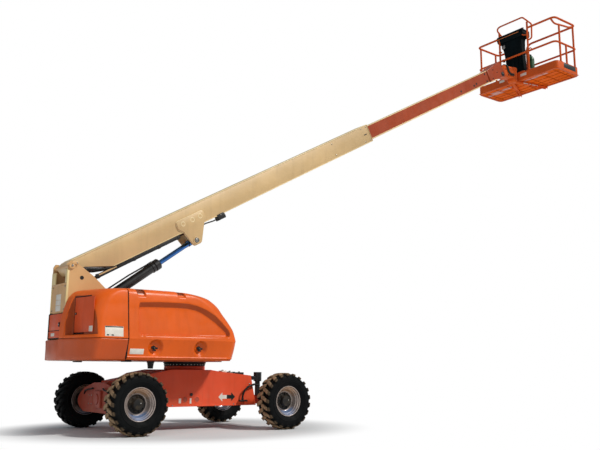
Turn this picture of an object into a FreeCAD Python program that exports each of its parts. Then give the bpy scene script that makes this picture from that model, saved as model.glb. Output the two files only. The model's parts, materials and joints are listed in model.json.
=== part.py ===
import FreeCAD, Part
import math
import os
import Sketcher

# Telescopic boom lift on four wheels. Frame: +X along the boom at rest, +Y to the machine's
# left, +Z up, millimetres, origin on the ground under the swing axis.

V = FreeCAD.Vector
doc = FreeCAD.newDocument("telescopic_boom_lift")
sheet = doc.addObject("Spreadsheet::Sheet", "dims")
nodes = {}
row = [0]


class Size:
    """A length or angle: its value now, and the sheet expression that drives it."""

    def __init__(self, value, text):
        self.value = value
        self.text = text

    def __add__(self, other):
        other = size_of(other)
        return Size(self.value + other.value, "(%s + %s)" % (self.text, other.text))

    def __sub__(self, other):
        other = size_of(other)
        return Size(self.value - other.value, "(%s - %s)" % (self.text, other.text))

    def __mul__(self, other):
        other = size_of(other)
        return Size(self.value * other.value, "(%s * %s)" % (self.text, other.text))

    def __truediv__(self, other):
        other = size_of(other)
        return Size(self.value / other.value, "(%s / %s)" % (self.text, other.text))

    def __neg__(self):
        return Size(-self.value, "(0 - %s)" % self.text)

    __radd__ = __add__
    __rmul__ = __mul__

    def __rsub__(self, other):
        return size_of(other) - self


def size_of(number):
    return number if isinstance(number, Size) else Size(float(number), "%.6f" % number)


def dim(alias, value):
    """One driving dimension: a plain number in the sheet with an alias."""
    row[0] += 1
    sheet.set("A%d" % row[0], alias)
    sheet.set("B%d" % row[0], str(value))
    sheet.setAlias("B%d" % row[0], alias)
    return Size(float(value), "dims." + alias)


def cos_deg(a):
    return Size(math.cos(math.radians(a.value)), "cos(%s)" % a.text)


def sin_deg(a):
    return Size(math.sin(math.radians(a.value)), "sin(%s)" % a.text)


def root(a):
    return Size(math.sqrt(a.value), "sqrt(%s)" % a.text)


def bearing_deg(dz, dx):
    return Size(math.degrees(math.atan2(dz.value, dx.value)), "atan2(%s; %s)" % (dz.text, dx.text))


def bind(obj, prop, number):
    obj.setExpression(prop, size_of(number).text)


def at(obj, x=None, y=None, z=None, axis=None, angle=None):
    """Bind an object's place, and its turn about an axis, to sizes."""
    p = obj.Placement
    if axis is not None:
        p.Rotation = FreeCAD.Rotation(V(*axis), size_of(angle).value)
        obj.Placement = p
        if isinstance(angle, Size):
            bind(obj, "Placement.Rotation.Angle", angle)
    for key, number in (("x", x), ("y", y), ("z", z)):
        if number is not None:
            bind(obj, "Placement.Base." + key, number)
    return obj


def block(x0, x1, y0, y1, z0, z1):
    b = doc.addObject("Part::Box", "block")
    bind(b, "Length", size_of(x1) - x0)
    bind(b, "Width", size_of(y1) - y0)
    bind(b, "Height", size_of(z1) - z0)
    return at(b, x0, y0, z0)


def bar(radius, length, x, y, z, along="z"):
    """A round bar that starts at x, y, z."""
    c = doc.addObject("Part::Cylinder", "bar")
    bind(c, "Radius", radius)
    bind(c, "Height", length)
    turn = {"x": ((0, 1, 0), 90), "y": ((1, 0, 0), -90), "z": (None, None)}[along]
    return at(c, x, y, z, turn[0], turn[1])


def sketch_on(body, plane, points):
    """A closed outline whose corners are all bound to the sheet."""
    sk = body.newObject("Sketcher::SketchObject", "outline")
    origin = [f for f in body.Origin.OriginFeatures if f.Role == plane][0]
    sk.AttachmentSupport = [(origin, "")]
    sk.MapMode = "FlatFace"
    flat = [(size_of(a), size_of(b)) for a, b in points]
    vecs = [V(a.value, b.value, 0) for a, b in flat]
    n = len(vecs)
    for i in range(n):
        sk.addGeometry(Part.LineSegment(vecs[i], vecs[(i + 1) % n]), False)
    for i in range(n):
        sk.addConstraint(Sketcher.Constraint("Coincident", i, 2, (i + 1) % n, 1))
    for i, (a, b) in enumerate(flat):
        for kind, number in (("DistanceX", a), ("DistanceY", b)):
            k = sk.addConstraint(Sketcher.Constraint(kind, -1, 1, i, 1, number.value))
            bind(sk, "Constraints[%d]" % k, number)
    return sk


def prism(plane, points, lo, hi):
    """An outline on a main plane, padded from lo to hi along the plane's own row axis."""
    body = doc.addObject("PartDesign::Body", "prism")
    sk = sketch_on(body, plane, points)
    pad = body.newObject("PartDesign::Pad", "pad")
    pad.Profile = sk
    bind(pad, "Length", size_of(hi) - lo)
    if plane == "XZ_Plane":
        return at(body, y=hi)
    return at(body, z=lo) if plane == "XY_Plane" else at(body, x=lo)


def lathe(points, x, y, z, outward):
    """A (radius, width) outline spun about the Y axis; outward is +1 or -1."""
    body = doc.addObject("PartDesign::Body", "lathe")
    sk = sketch_on(body, "XY_Plane", points)
    spin = body.newObject("PartDesign::Revolution", "spin")
    spin.Profile = sk
    spin.ReferenceAxis = (sk, ["V_Axis"])
    spin.Angle = 360.0
    return at(body, x, y, z, (0, 0, 1), 0 if outward > 0 else 180)


def cut(base, *tools):
    for tool in tools:
        c = doc.addObject("Part::Cut", "cut")
        c.Base, c.Tool = base, tool
        base = c
    return base


def join(*parts):
    f = doc.addObject("Part::MultiFuse", "join")
    f.Shapes = list(parts)
    return f


def common(*parts):
    base = parts[0]
    for tool in parts[1:]:
        c = doc.addObject("Part::Common", "common")
        c.Base, c.Tool = base, tool
        base = c
    return base


def inset(points, wall, open_edges=()):
    """Move each edge of an anticlockwise outline in by the wall, or out where it is open."""
    flat = [(size_of(a), size_of(b)) for a, b in points]
    n = len(flat)
    lines = []
    for i in range(n):
        (x0, y0), (x1, y1) = [(a.value, b.value) for a, b in (flat[i], flat[(i + 1) % n])]
        long = math.hypot(x1 - x0, y1 - y0)
        lines.append((-(y1 - y0) / long, (x1 - x0) / long, -1.0 if i in open_edges else 1.0))
    out = []
    for i in range(n):
        (a, b, p), (c, d, q) = lines[i - 1], lines[i]
        det = a * d - b * c
        kx, ky = (p * d - b * q) / det, (a * q - p * c) / det
        out.append((flat[i][0] + wall * kx, flat[i][1] + wall * ky))
    return out


def sorted_ends(inner, outer, side):
    """The low and high ends of a span on the left (+1) or right (-1) side."""
    return (inner, outer) if side > 0 else (-outer, -inner)


def group(name, *parts):
    """Like pieces that share a node and don't touch."""
    c = doc.addObject("Part::Compound", name)
    c.Links = list(parts)
    return c


def node(label, obj):
    obj.Label = label
    nodes[label] = obj
    return obj


# ---------------------------------------------------------------- driving dimensions
wheel_radius = dim("wheel_radius", 416.5)
tyre_width = dim("tyre_width", 307)
flange_radius = dim("flange_radius", 222)
bead_radius = dim("bead_radius", 205)
wheelbase = dim("wheelbase", 2420)
track = dim("track", 1880)
spindle_radius = dim("spindle_radius", 60)
fit_gap = dim("fit_gap", 0.05)
run_gap = dim("run_gap", 5)
plate = dim("plate", 25)
frame_half = dim("frame_half_width", 450)
frame_low = dim("frame_low", 340)
frame_high = dim("frame_high", 870)
bearing_radius = dim("bearing_radius", 345)
bearing_depth = dim("bearing_depth", 55)
kingpin_inset = dim("kingpin_inset", 240)
kingpin_radius = dim("kingpin_radius", 22)
arm_length = dim("arm_length", 170)
deck_low = dim("deck_low", 985)
body_half = dim("body_half_width", 1050)
crease_high = dim("crease_high", 1275)
hood_high = dim("hood_high", 1985)
hood_front = dim("hood_front", 300)
hood_split = dim("hood_split", 1410)
tail_radius = dim("tail_radius", 2120)
tail_left = dim("tail_radius_left", 2050)
skin = dim("skin", 8)
channel_half = dim("channel_half", 360)
mast_half = dim("mast_half_width", 300)
pivot_back = dim("pivot_back", 1970)
pivot_high = dim("pivot_high", 2275)
pivot_radius = dim("pivot_radius", 35)
boom_pitch = dim("boom_pitch", 29.3)
base_length = dim("base_length", 6498)
base_depth = dim("base_depth", 335)
base_width = dim("base_width", 300)
pivot_below_top = dim("pivot_below_top", 65)
tube_wall = dim("tube_wall", 8)
fly_end = dim("fly_end", 10750)
fly_overlap = dim("fly_overlap", 1500)
fly_depth = dim("fly_depth", 272)
fly_width = dim("fly_width", 204)
lug_out = dim("lug_out", 2046)
lug_drop = dim("lug_drop", 471)
heel_back = dim("heel_back", 1816)
heel_high = dim("heel_high", 1526)
barrel_radius = dim("barrel_radius", 76)
rod_radius = dim("rod_radius", 38)
level_out = dim("level_out", 11252)
level_drop = dim("level_drop", 190)
turner_reach = dim("turner_reach", 500)
floor_rise = dim("floor_rise", 1)
cage_length = dim("cage_length", 2260)
cage_width = dim("cage_width", 860)
cage_high = dim("cage_high", 1250)
cage_gap = dim("cage_gap", 140)
toe_high = dim("toe_high", 190)
rail_radius = dim("rail_radius", 17)

front_x = wheelbase / 2
rear_x = -wheelbase / 2
wheel_y = track / 2
king_y = wheel_y - kingpin_inset
deck_high = deck_low + plate

# ---------------------------------------------------------------- wheels
crown = tyre_width / 2
rim_face = crown - 42
rim_lip = rim_face + 10
tyre_outline = [(bead_radius, -rim_face + 0.3), (bead_radius + 25, -rim_face + 0.3), (bead_radius + 95, -crown),
                (wheel_radius - 45, -crown + 2), (wheel_radius - 6, -crown + 20), (wheel_radius, -crown + 60),
                (wheel_radius, crown - 60), (wheel_radius - 6, crown - 20), (wheel_radius - 45, crown - 2),
                (bead_radius + 95, crown), (bead_radius + 25, rim_face - 0.3), (bead_radius, rim_face - 0.3)]
bore = spindle_radius + fit_gap
rim_outline = [(0, 62), (bore, 62), (bore, -40), (85, -40), (85, 8), (bead_radius - 15, 8),
               (bead_radius - 15, -rim_lip), (flange_radius, -rim_lip), (flange_radius, -rim_face),
               (bead_radius, -rim_face), (bead_radius, rim_face), (flange_radius, rim_face),
               (flange_radius, rim_lip), (bead_radius - 15, rim_lip), (bead_radius - 15, 22),
               (100, 22), (100, 60), (84, 78), (0, 78)]
for tag, x, side in (("front_left", front_x, 1), ("front_right", front_x, -1),
                     ("rear_left", rear_x, 1), ("rear_right", rear_x, -1)):
    node("tyre_" + tag, lathe(tyre_outline, x, wheel_y * side, wheel_radius, side))
    node("rim_" + tag, lathe(rim_outline, x, wheel_y * side, wheel_radius, side))

# ---------------------------------------------------------------- chassis
side_view = [(rear_x + 75, frame_low), (1026, frame_low), (925, 788), (374, 844), (200, frame_high),
             (-450, frame_high), (-740, 817), (-875, 750), (rear_x + 75, 700)]
hull = prism("XZ_Plane", side_view, -frame_half, frame_half)
inside = prism("XZ_Plane", inset(side_view, plate, (0,)), -frame_half + plate, frame_half - plate)
tie_holes = [bar(30, frame_half * 2 + 20, x, -frame_half - 10, 440, "y") for x in (-216, -18)]
swivel_hole = bar(110, plate * 4, 0, 0, frame_high - plate * 2)
sides = [prism("XZ_Plane", side_view, *pair) for pair in ((frame_half - plate, frame_half),
                                                         (-frame_half, -frame_half + plate))]
core = prism("XZ_Plane", side_view, -frame_half + plate, frame_half - plate)
node("chassis_sides", group("sides", *[cut(side, *tie_holes) for side in sides]))
node("chassis_spine", cut(core, inside, swivel_hole))

axle_view = [(-720, 330), (-560, 262), (560, 262), (720, 330), (720, 520), (560, 600), (200, 680),
             (-200, 680), (-560, 600), (-720, 520)]
axle_box = prism("YZ_Plane", axle_view, rear_x - 140, rear_x + 75)
axle_room = prism("YZ_Plane", inset(axle_view, plate), rear_x - 115, rear_x + 75 + plate)
node("rear_axle", cut(axle_box, axle_room))


def stub(x, inner, side):
    """A wheel hub and its spindle, from the axle's end out to the disc."""
    outer = wheel_y - 45
    hub = bar(130, (outer - inner), x, inner * side if side > 0 else -outer, wheel_radius, "y")
    end = outer + 104
    pin = bar(spindle_radius, (end - outer) + 5, x, (outer - 5) if side > 0 else -end, wheel_radius, "y")
    return join(hub, pin)


node("rear_hubs", group("hubs", *[stub(rear_x, size_of(720), s) for s in (1, -1)]))

yoke_in, yoke_out = king_y - 110, king_y + 50
steer_x = front_x + 130
steer_heel = size_of(100)
beam_parts = [block(front_x - 70, front_x + 40, -yoke_in - 5, yoke_in + 5, 352, 480),
              block(960, front_x - 65, -110, 110, 380, 470),
              block(front_x + 30, front_x + 66, 70, 130, 312, 360),
              block(front_x + 30, steer_x + 25, 70, 130, 312, 330),
              bar(12, 72, steer_x, steer_heel, 316)]
for s in (1, -1):
    for low_z in (302, 495):
        beam_parts.append(block(front_x - 55, front_x + 55, *sorted_ends(yoke_in, yoke_out, s), low_z, low_z + 40))
    beam_parts.append(block(front_x - 55, front_x + 15, *sorted_ends(yoke_in, king_y - 60, s), 302, 535))
    beam_parts.append(bar(kingpin_radius, 233, front_x, king_y * s, 302))
node("front_axle", cut(join(*beam_parts), hull))

locks = [join(bar(62, 140, 1090, y, 700), bar(40, 222, 1090, y, 480), block(960, 1060, y - 40, y + 40, 720, 780))
               for y in (-390, 390)]
node("lockout_cylinders", group("locks", *locks))

node("lower_bearing", cut(bar(bearing_radius, bearing_depth, 0, 0, frame_high),
                          bar(bearing_radius - 90, bearing_depth + 20, 0, 0, frame_high - 10)))

# ---------------------------------------------------------------- steering
pin_x = front_x + arm_length
pin_y = king_y
rod_eye_y = king_y - 35
for tag, side in (("left", 1), ("right", -1)):
    ky = king_y * side
    outer = wheel_y - 45
    post = bar(48, 145, front_x, ky, 346)
    near = (king_y if side > 0 else -outer)
    spindle = bar(68, outer - king_y, front_x, near, wheel_radius, "y")
    far = outer + 59
    tip = bar(spindle_radius, far - king_y, front_x, king_y if side > 0 else -far, wheel_radius, "y")
    eye_y = rod_eye_y * side
    arm_plan = [(front_x + 22, ky - 20 * side), (front_x, ky + 34 * side), (pin_x + 5, ky + 24 * side),
                (pin_x + 28, ky), (pin_x + 5, ky - 24 * side), (steer_x + 10, eye_y - 22 * side),
                (steer_x - 30, eye_y - 22 * side)]
    arm = prism("XY_Plane", arm_plan if side < 0 else arm_plan[::-1], 400, 420)
    eye_pin = join(bar(12, 56, pin_x, ky, 400), bar(12, 12, steer_x, eye_y, 388))
    king_hole = bar(kingpin_radius + fit_gap, 160, front_x, ky, 340)
    node("knuckle_" + tag, cut(join(post, spindle, tip, arm, eye_pin), king_hole))

rod_holes = [bar(12 + fit_gap, 60, pin_x, pin_y * s, 415) for s in (1, -1)]
node("tie_rod", cut(join(bar(16, pin_y * 2, pin_x, -pin_y, 441, "y"),
                         *[bar(26, 34, pin_x, pin_y * s, 424) for s in (1, -1)]), *rod_holes))

steer_pin_y = -rod_eye_y
node("steer_barrel", cut(join(bar(30, steer_heel - steer_pin_y - 200, steer_x, steer_pin_y + 180, 365, "y"),
                              bar(28, 44, steer_x, steer_heel, 343)),
                         bar(12.05, 60, steer_x, steer_heel, 335),
                         bar(15 + fit_gap, steer_heel - steer_pin_y - 240, steer_x, steer_pin_y + 170, 365, "y")))
node("steer_rod", join(bar(15, steer_heel - steer_pin_y - 80 - 100, steer_x, steer_pin_y, 365, "y"),
                       bar(24, 36, steer_x, steer_pin_y, 347)))

# ---------------------------------------------------------------- turntable
node("upper_bearing", cut(bar(bearing_radius + 15, deck_low - frame_high - bearing_depth - 0.5,
                              0, 0, frame_high + bearing_depth + 0.5),
                          bar(bearing_radius - 80, 200, 0, 0, frame_high + 20)))

deck_front = hood_front - 45 - skin - run_gap * 2
mast_back = size_of(-2022)
spine = [(mast_back, deck_low), (deck_front + 30, deck_low), (deck_front + 30, 1180), (-300, 1250), (-1150, 1720),
         (-1640, 2148), (-1797, 2255), (-1950, 2345), (-1995, 2345), (mast_back, 2300)]
cheek_spans = ((mast_half - plate, mast_half), (-mast_half, -mast_half + plate))
pins = [bar(pivot_radius, mast_half * 2 + 40, -pivot_back, -mast_half - 20, pivot_high, "y"),
        bar(pivot_radius, mast_half * 2 + 10, -heel_back, -mast_half - 5, heel_high, "y")]
node("mast_cheeks", group("cheeks", *[cut(prism("XZ_Plane", spine, *pair), *pins) for pair in cheek_spans]))
tie_y = mast_half - plate
node("mast_ties", group("ties", *pins, block(mast_back, mast_back + plate, -tie_y, tie_y, 1640, 2030),
                        block(deck_front + 5, deck_front + 30, -tie_y, tie_y, deck_low, 1180),
                        block(-1925, -1900, -tie_y, tie_y, deck_low, 1300)))

deck_half = body_half - 150
deck_nose = deck_half - 200
deck_plan = [(-hood_split + 25, -deck_half), (0, -deck_half), (deck_front, -deck_nose), (deck_front, deck_nose),
             (0, deck_half), (-hood_split + 25, deck_half)]
deck = cut(prism("XY_Plane", deck_plan, deck_low, deck_high),
           block(-2100, 400, -mast_half, -mast_half + plate, 900, 1100),
           block(-2100, 400, mast_half - plate, mast_half, 900, 1100),
           block(deck_front + 5, 400, -mast_half, mast_half, 900, 1100))
node("deck", deck)

section = [(-body_half + 65, deck_low), (body_half - 65, deck_low), (body_half, crease_high - 10),
           (-body_half, crease_high - 10)]


def lobe(side, radius):
    """One half of the counterweight, beside the mast's channel, rounded at its own tail radius."""
    span = sorted_ends(mast_half + 0.5, body_half + 5, side)
    whole = common(prism("YZ_Plane", section, -radius, -hood_split - run_gap), bar(radius, 600, 0, 0, 800),
                   block(-radius - 10, -hood_split, *span, deck_low - 10, crease_high))
    return cut(whole, block(-1650, -1300, -1200, 1200, 1100, 1400))


node("counterweight", group("lobes", lobe(-1, tail_radius), lobe(1, tail_left)))
node("tail_centre", group("closures",
                          block(-tail_left - 10, mast_back, -mast_half + 3, mast_half - 3, deck_low, crease_high - 10),
                          block(mast_back - 12, mast_back, -mast_half + 3, mast_half - 3, crease_high, 1625)))

# the hood's section: vertical at the channel, flat on top, leaning in above and below the crease
top_edge = body_half - 150


def half_section(side):
    pts = [(channel_half, deck_low + 15), (body_half - 65, deck_low + 15), (body_half, crease_high),
           (top_edge + 60, hood_high - 90), (top_edge, hood_high - 20), (top_edge - 80, hood_high),
           (channel_half, hood_high)]
    return pts if side > 0 else [(-a, b) for a, b in reversed(pts)]


def hood(side):
    view = [(-hood_split + run_gap, deck_low), (hood_front - 45, deck_low), (hood_front, crease_high + 45),
            (hood_front - 100, hood_high - 425), (hood_front - 290, hood_high - 165),
            (hood_front - 460, hood_high - 65), (hood_front - 740, hood_high), (-hood_split + run_gap, hood_high)]
    plan = [(-1600, 200), (hood_front + 20, 200), (hood_front + 20, body_half - 400), (hood_front - 35, body_half - 190),
            (hood_front - 155, body_half - 40), (hood_front - 405, body_half + 60), (-1600, body_half + 60)]
    if side < 0:
        plan = [(a, -b) for a, b in reversed(plan)]
    sec = half_section(side)
    lo, hi = (200, body_half + 80) if side > 0 else (-body_half - 80, -200)
    shut = (6, 0) if side > 0 else (5, 6)
    outer = common(prism("YZ_Plane", sec, -1700, 400), prism("XZ_Plane", view, lo, hi),
                   prism("XY_Plane", plan, 900, 2100))
    inner = common(prism("YZ_Plane", inset(sec, skin, shut), -1700, 400),
                   prism("XZ_Plane", inset(view, skin, (0,)), lo, hi),
                   prism("XY_Plane", inset(plan, skin), 900, 2100))
    return cut(outer, inner)


node("hood_left", hood(1))
node("hood_right", hood(-1))


def rear_cover(side, radius):
    """The shell behind the hood, over the counterweight."""
    view = [(-tail_radius + 14, crease_high), (-hood_split - run_gap, crease_high), (-hood_split - run_gap, hood_high),
            (-tail_radius + 443, hood_high - 6), (-tail_radius + 297, hood_high - 36),
            (-tail_radius + 206, hood_high - 78), (-tail_radius + 137, hood_high - 133),
            (-tail_radius + 90, hood_high - 196), (-tail_radius + 52, crease_high + 333),
            (-tail_radius + 21, crease_high + 183)]
    sec = [(mast_half + 10, crease_high), (body_half, crease_high), (top_edge + 60, hood_high - 90),
           (top_edge, hood_high - 20), (top_edge - 80, hood_high), (mast_half + 10, hood_high)]
    if side < 0:
        sec = [(-a, b) for a, b in reversed(sec)]
    lo, hi = (200, body_half + 80) if side > 0 else (-body_half - 80, -200)
    outer = common(prism("YZ_Plane", sec, -2200, -1300), prism("XZ_Plane", view, lo, hi), bar(radius, 1400, 0, 0, 900))
    inner = common(prism("YZ_Plane", inset(sec, skin, (5, 0) if side > 0 else (4, 5)), -2200, -1300),
                   prism("XZ_Plane", inset(view, skin, (0,)), lo, hi),
                   bar(radius - skin, 1400, 0, 0, 900))
    return outer, inner


def door_line(y):
    """Row x of the flat back wall of the scoop, which leans round with the tail."""
    return -tail_radius + 130 + (-y - scoop_in) * 0.245


def scoop(wall):
    """The recess for the ground controls, or the same recess grown by a wall."""
    y_in, y_out = -scoop_in + wall, -scoop_out - wall
    return prism("XY_Plane", [(-tail_radius - 200, y_in), (door_line(y_in) + wall, y_in),
                              (door_line(y_out) + wall, y_out), (-tail_radius - 200, y_out)],
                 scoop_low - wall, scoop_high + wall)


scoop_in, scoop_out = size_of(440), size_of(950)
scoop_low, scoop_high = crease_high + 45, hood_high - 125
node("rear_cover_left", cut(*rear_cover(1, tail_left - 24)))
outer_shell, inner_room = rear_cover(-1, tail_radius)
node("rear_cover_right", cut(cut(outer_shell, scoop(size_of(0))), cut(inner_room, scoop(skin))))

door_in, door_out = -scoop_in - 25, -scoop_out + 25
door_plan = [(door_line(y) - gap, y) for y, gap in ((door_in, 15), (door_in, 3), (door_out, 3), (door_out, 15))]
node("controls_door", prism("XY_Plane", door_plan, scoop_low + 25, scoop_high - 35))
bay_side, bay_low = channel_half + 60, deck_high
node("engine", block(-1250, -450, bay_side, deck_half - 20, bay_low, 1650))
node("hydraulic_tank", block(-1250, -350, -deck_half + 50, -bay_side, bay_low, 1500))
stub_x, stub_y, stub_long = size_of(-962), -deck_half + 100, size_of(93)
node("exhaust_stub", cut(bar(45, stub_long, stub_x, stub_y, deck_low - stub_long),
                         bar(35, stub_long - 20, stub_x, stub_y, deck_low - stub_long - 10)))

# ---------------------------------------------------------------- boom frame: u along it, w up, zero at the pivot
u_x, u_z = cos_deg(boom_pitch), sin_deg(boom_pitch)


def on_boom(u, w):
    """Row x and z of a point given along and above the boom's pivot line."""
    return -pivot_back + u * u_x - w * u_z, pivot_high + u * u_z + w * u_x


def put_on_boom(obj):
    return at(obj, x=-pivot_back, z=pivot_high, axis=(0, -1, 0), angle=boom_pitch)


low = pivot_below_top - base_depth
half = base_width / 2
tube = prism("XZ_Plane", [(300, low), (base_length, low), (base_length, pivot_below_top), (-90, pivot_below_top),
                          (-135, 30), (-140, -40), (-90, -110)], -half, half)
hollow = block(320, base_length + 10, -half + tube_wall, half - tube_wall, low + tube_wall, pivot_below_top - tube_wall)
heel_room = prism("XZ_Plane", [(-70, -80), (330, low + 18), (330, pivot_below_top - tube_wall),
                               (-80, pivot_below_top - tube_wall), (-115, 10)], -half + plate, half - plate)
bosses = [bar(58, mast_half - plate - half - 6, 0, y, 0, "y") for y in (half, -mast_half + plate + 6)]
pivot_bore = bar(pivot_radius + fit_gap, mast_half * 2, 0, -mast_half, 0, "y")
node("base_boom", put_on_boom(cut(join(cut(tube, hollow, heel_room), *bosses), pivot_bore)))

lug_view = [(lug_out - 60, -lug_drop - 75), (lug_out + 60, -lug_drop - 75), (lug_out + 270, -lug_drop + 110),
            (lug_out + 330, -lug_drop + 330), (lug_out + 270, -lug_drop + 400), (lug_out - 120, -lug_drop + 400),
            (lug_out - 220, -lug_drop + 260), (lug_out - 150, -lug_drop + 60)]
lugs = [prism("XZ_Plane", lug_view, *pair) for pair in ((half, half + 20), (-half - 20, -half))]
node("lift_lugs", put_on_boom(group("lugs", *lugs)))

tray = block(420, lug_out - 230, -145, -88, low - 65, low)
line = bar(12, 900, lug_out + 345, -125, low - 50, "x")
clamp = block(lug_out + 1245, lug_out + 1335, -150, -90, low - 90, low)
node("hose_tray", put_on_boom(group("hoses", tray, line, clamp)))

mid = pivot_below_top - base_depth / 2
fly_low, fly_top = mid - fly_depth / 2, mid + fly_depth / 2
fly_half = fly_width / 2
fly_start = base_length - fly_overlap
fly_tube = cut(block(fly_start, fly_end, -fly_half, fly_half, fly_low, fly_top),
               block(fly_start - 10, fly_end + 10, -fly_half + tube_wall, fly_half - tube_wall,
                     fly_low + tube_wall, fly_top - tube_wall))
node("fly_boom", put_on_boom(fly_tube))
nose_view = [(fly_end, fly_low), (level_out + 70, fly_low - 20), (level_out + 90, -level_drop + 60),
             (level_out + 20, fly_top + 75), (level_out - 230, fly_top + 45), (fly_end, fly_top)]
nose_half = size_of(118)
nose = cut(prism("XZ_Plane", nose_view, -nose_half, nose_half),
           prism("XZ_Plane", inset(nose_view, size_of(12), (0, 1, 2, 5)), -nose_half + 14, nose_half - 14))
level_pin = bar(25, nose_half * 2, level_out, -nose_half, -level_drop, "y")
node("boom_nose", put_on_boom(join(nose, level_pin)))

# ---------------------------------------------------------------- lift cylinder: s along it, zero at its heel pin
rod_x, rod_z = on_boom(lug_out, -lug_drop)
run, rise = rod_x + heel_back, rod_z - heel_high
reach = root(run * run + rise * rise)
lift_angle = bearing_deg(rise, run)


def put_on_lift(obj):
    return at(obj, x=-heel_back, z=heel_high, axis=(0, -1, 0), angle=lift_angle)


barrel_end = size_of(1560)
barrel = cut(join(bar(barrel_radius, barrel_end - 70, 70, 0, 0, "x"), bar(80, 150, 0, -75, 0, "y")),
             bar(rod_radius + 12, barrel_end, 110, 0, 0, "x"),
             bar(pivot_radius + fit_gap, 200, 0, -100, 0, "y"))
gland = cut(bar(barrel_radius, 60, barrel_end - 10, 0, 0, "x"), bar(rod_radius + fit_gap, 100, barrel_end - 20, 0, 0, "x"))
node("lift_barrel", put_on_lift(join(barrel, gland)))
rod_in = size_of(1500)
node("lift_rod", put_on_lift(join(bar(rod_radius, rod_in - 20, reach - rod_in, 0, 0, "x"), bar(52, 110, reach, -55, 0, "y"))))

# ---------------------------------------------------------------- platform group: level, zero at the levelling pin
level_x, level_z = on_boom(level_out, -level_drop)
turn_x = level_x + turner_reach
arm_half = size_of(86)
head_view = [(level_x - 60, level_z - 62), (turn_x, level_z + 20), (turn_x, level_z + 290), (level_x + 60, level_z + 250),
             (level_x - 60, level_z + 60)]
head = cut(prism("XZ_Plane", head_view, -arm_half, arm_half),
           prism("XZ_Plane", inset(head_view, size_of(12), (3, 4)), -arm_half + 12, arm_half - 12))
node("platform_support", cut(join(head, bar(110, 270, turn_x, 0, level_z + 20)),
                             bar(25 + fit_gap, 400, level_x, -200, level_z, "y")))

floor_z = level_z + floor_rise
near_x = turn_x + cage_gap
far_x = near_x + cage_width
cage_y = cage_length / 2
foot_z = level_z - 46
arms = [prism("XY_Plane", [(turn_x, -35), (far_x, y - 35), (far_x, y + 35), (turn_x, 35)], foot_z, foot_z + 40)
        for y in (-240, 520)]
node("platform_arms", join(bar(100, 40, turn_x, 0, foot_z), *arms))

rim_cut = block(near_x + 4, far_x - 4, -cage_y + 4, cage_y - 4, floor_z + 8, floor_z + toe_high + 20)
node("platform_floor", cut(block(near_x, far_x, -cage_y, cage_y, floor_z, floor_z + toe_high), rim_cut))

top_z = floor_z + cage_high
mid_z = floor_z + 715
rx0, rx1 = near_x + rail_radius, far_x - rail_radius
ry = cage_y - rail_radius
gate_y0, gate_y1 = size_of(250), size_of(850)
post_spots = [(rx0, ry), (rx0, 540), (rx0, -280), (rx0, -ry), (rx1, -ry), (rx1, -400),
              (rx1, gate_y0), (rx1, gate_y1), (rx1, ry)]
posts = [bar(rail_radius, cage_high - toe_high + rail_radius, x, y, floor_z + toe_high) for x, y in post_spots]
node("platform_posts", group("posts", *posts))
rails = []
for z in (mid_z, top_z):
    rails += [bar(rail_radius, ry * 2, rx0, -ry, z, "y"), bar(rail_radius, gate_y0 + ry, rx1, -ry, z, "y"),
              bar(rail_radius, ry - gate_y1, rx1, gate_y1, z, "y")]
    rails += [bar(rail_radius, rx1 - rx0, rx0, y, z, "x") for y in (-ry, ry)]
fat_posts = [bar(rail_radius, cage_high, x, y, floor_z + toe_high) for x, y in post_spots]
node("platform_rails", group("rails", *[cut(rail, *fat_posts) for rail in rails]))

gate_posts = [bar(rail_radius, top_z - floor_z - toe_high - 60, rx1, y, floor_z + toe_high + 40)
              for y in (gate_y0 + 60, gate_y1 - 60)]
gate_bars = [bar(rail_radius, gate_y1 - gate_y0 - 120, rx1, gate_y0 + 60, z, "y")
             for z in (floor_z + toe_high + 40, mid_z, top_z - 20)]
node("platform_gate", join(*gate_posts, *gate_bars))

box_x0, box_x1 = near_x + 50, near_x + 230
tall = floor_z + 1190
pedestal = cut(block(box_x0, box_x1, -230, 410, floor_z + 30, tall),
               block(box_x0 + 6, box_x1 - 6, -224, 404, floor_z + 20, tall - 6))
lid = cut(block(box_x0, box_x1 + 100, -280, 600, tall, tall + 140),
          block(box_x0 + 6, box_x1 + 94, -274, 594, tall + 6, tall + 134))
node("control_console", join(pedestal, lid))

# ---------------------------------------------------------------- checks and export
doc.recompute()
for obj in doc.Objects:
    if "Invalid" in obj.State or "Error" in obj.State:
        raise RuntimeError("failed: %s %s" % (obj.Label, obj.State))
os.makedirs("parts", exist_ok=True)
for label, obj in nodes.items():
    shape = obj.Shape
    if shape.isNull() or not shape.isValid() or not shape.Solids:
        raise RuntimeError("bad shape: " + label)
for label, obj in nodes.items():
    obj.Shape.exportStep("parts/%s.step" % label)
    box = obj.Shape.BoundBox
    print("%-20s solids %d volume %.4f m3  x %.0f..%.0f y %.0f..%.0f z %.0f..%.0f" % (
        label, len(obj.Shape.Solids), obj.Shape.Volume / 1e9, box.XMin, box.XMax, box.YMin, box.YMax, box.ZMin, box.ZMax))
print("nodes", len(nodes), "reach of lift cylinder", round(reach.value, 1), "angle", round(lift_angle.value, 2))
print("levelling pin", round(level_x.value, 1), round(level_z.value, 1))
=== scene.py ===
import json
import math

import bmesh
import bpy
from bpy.props import FloatProperty, FloatVectorProperty, IntProperty, PointerProperty
from mathutils import Matrix, Vector


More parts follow.
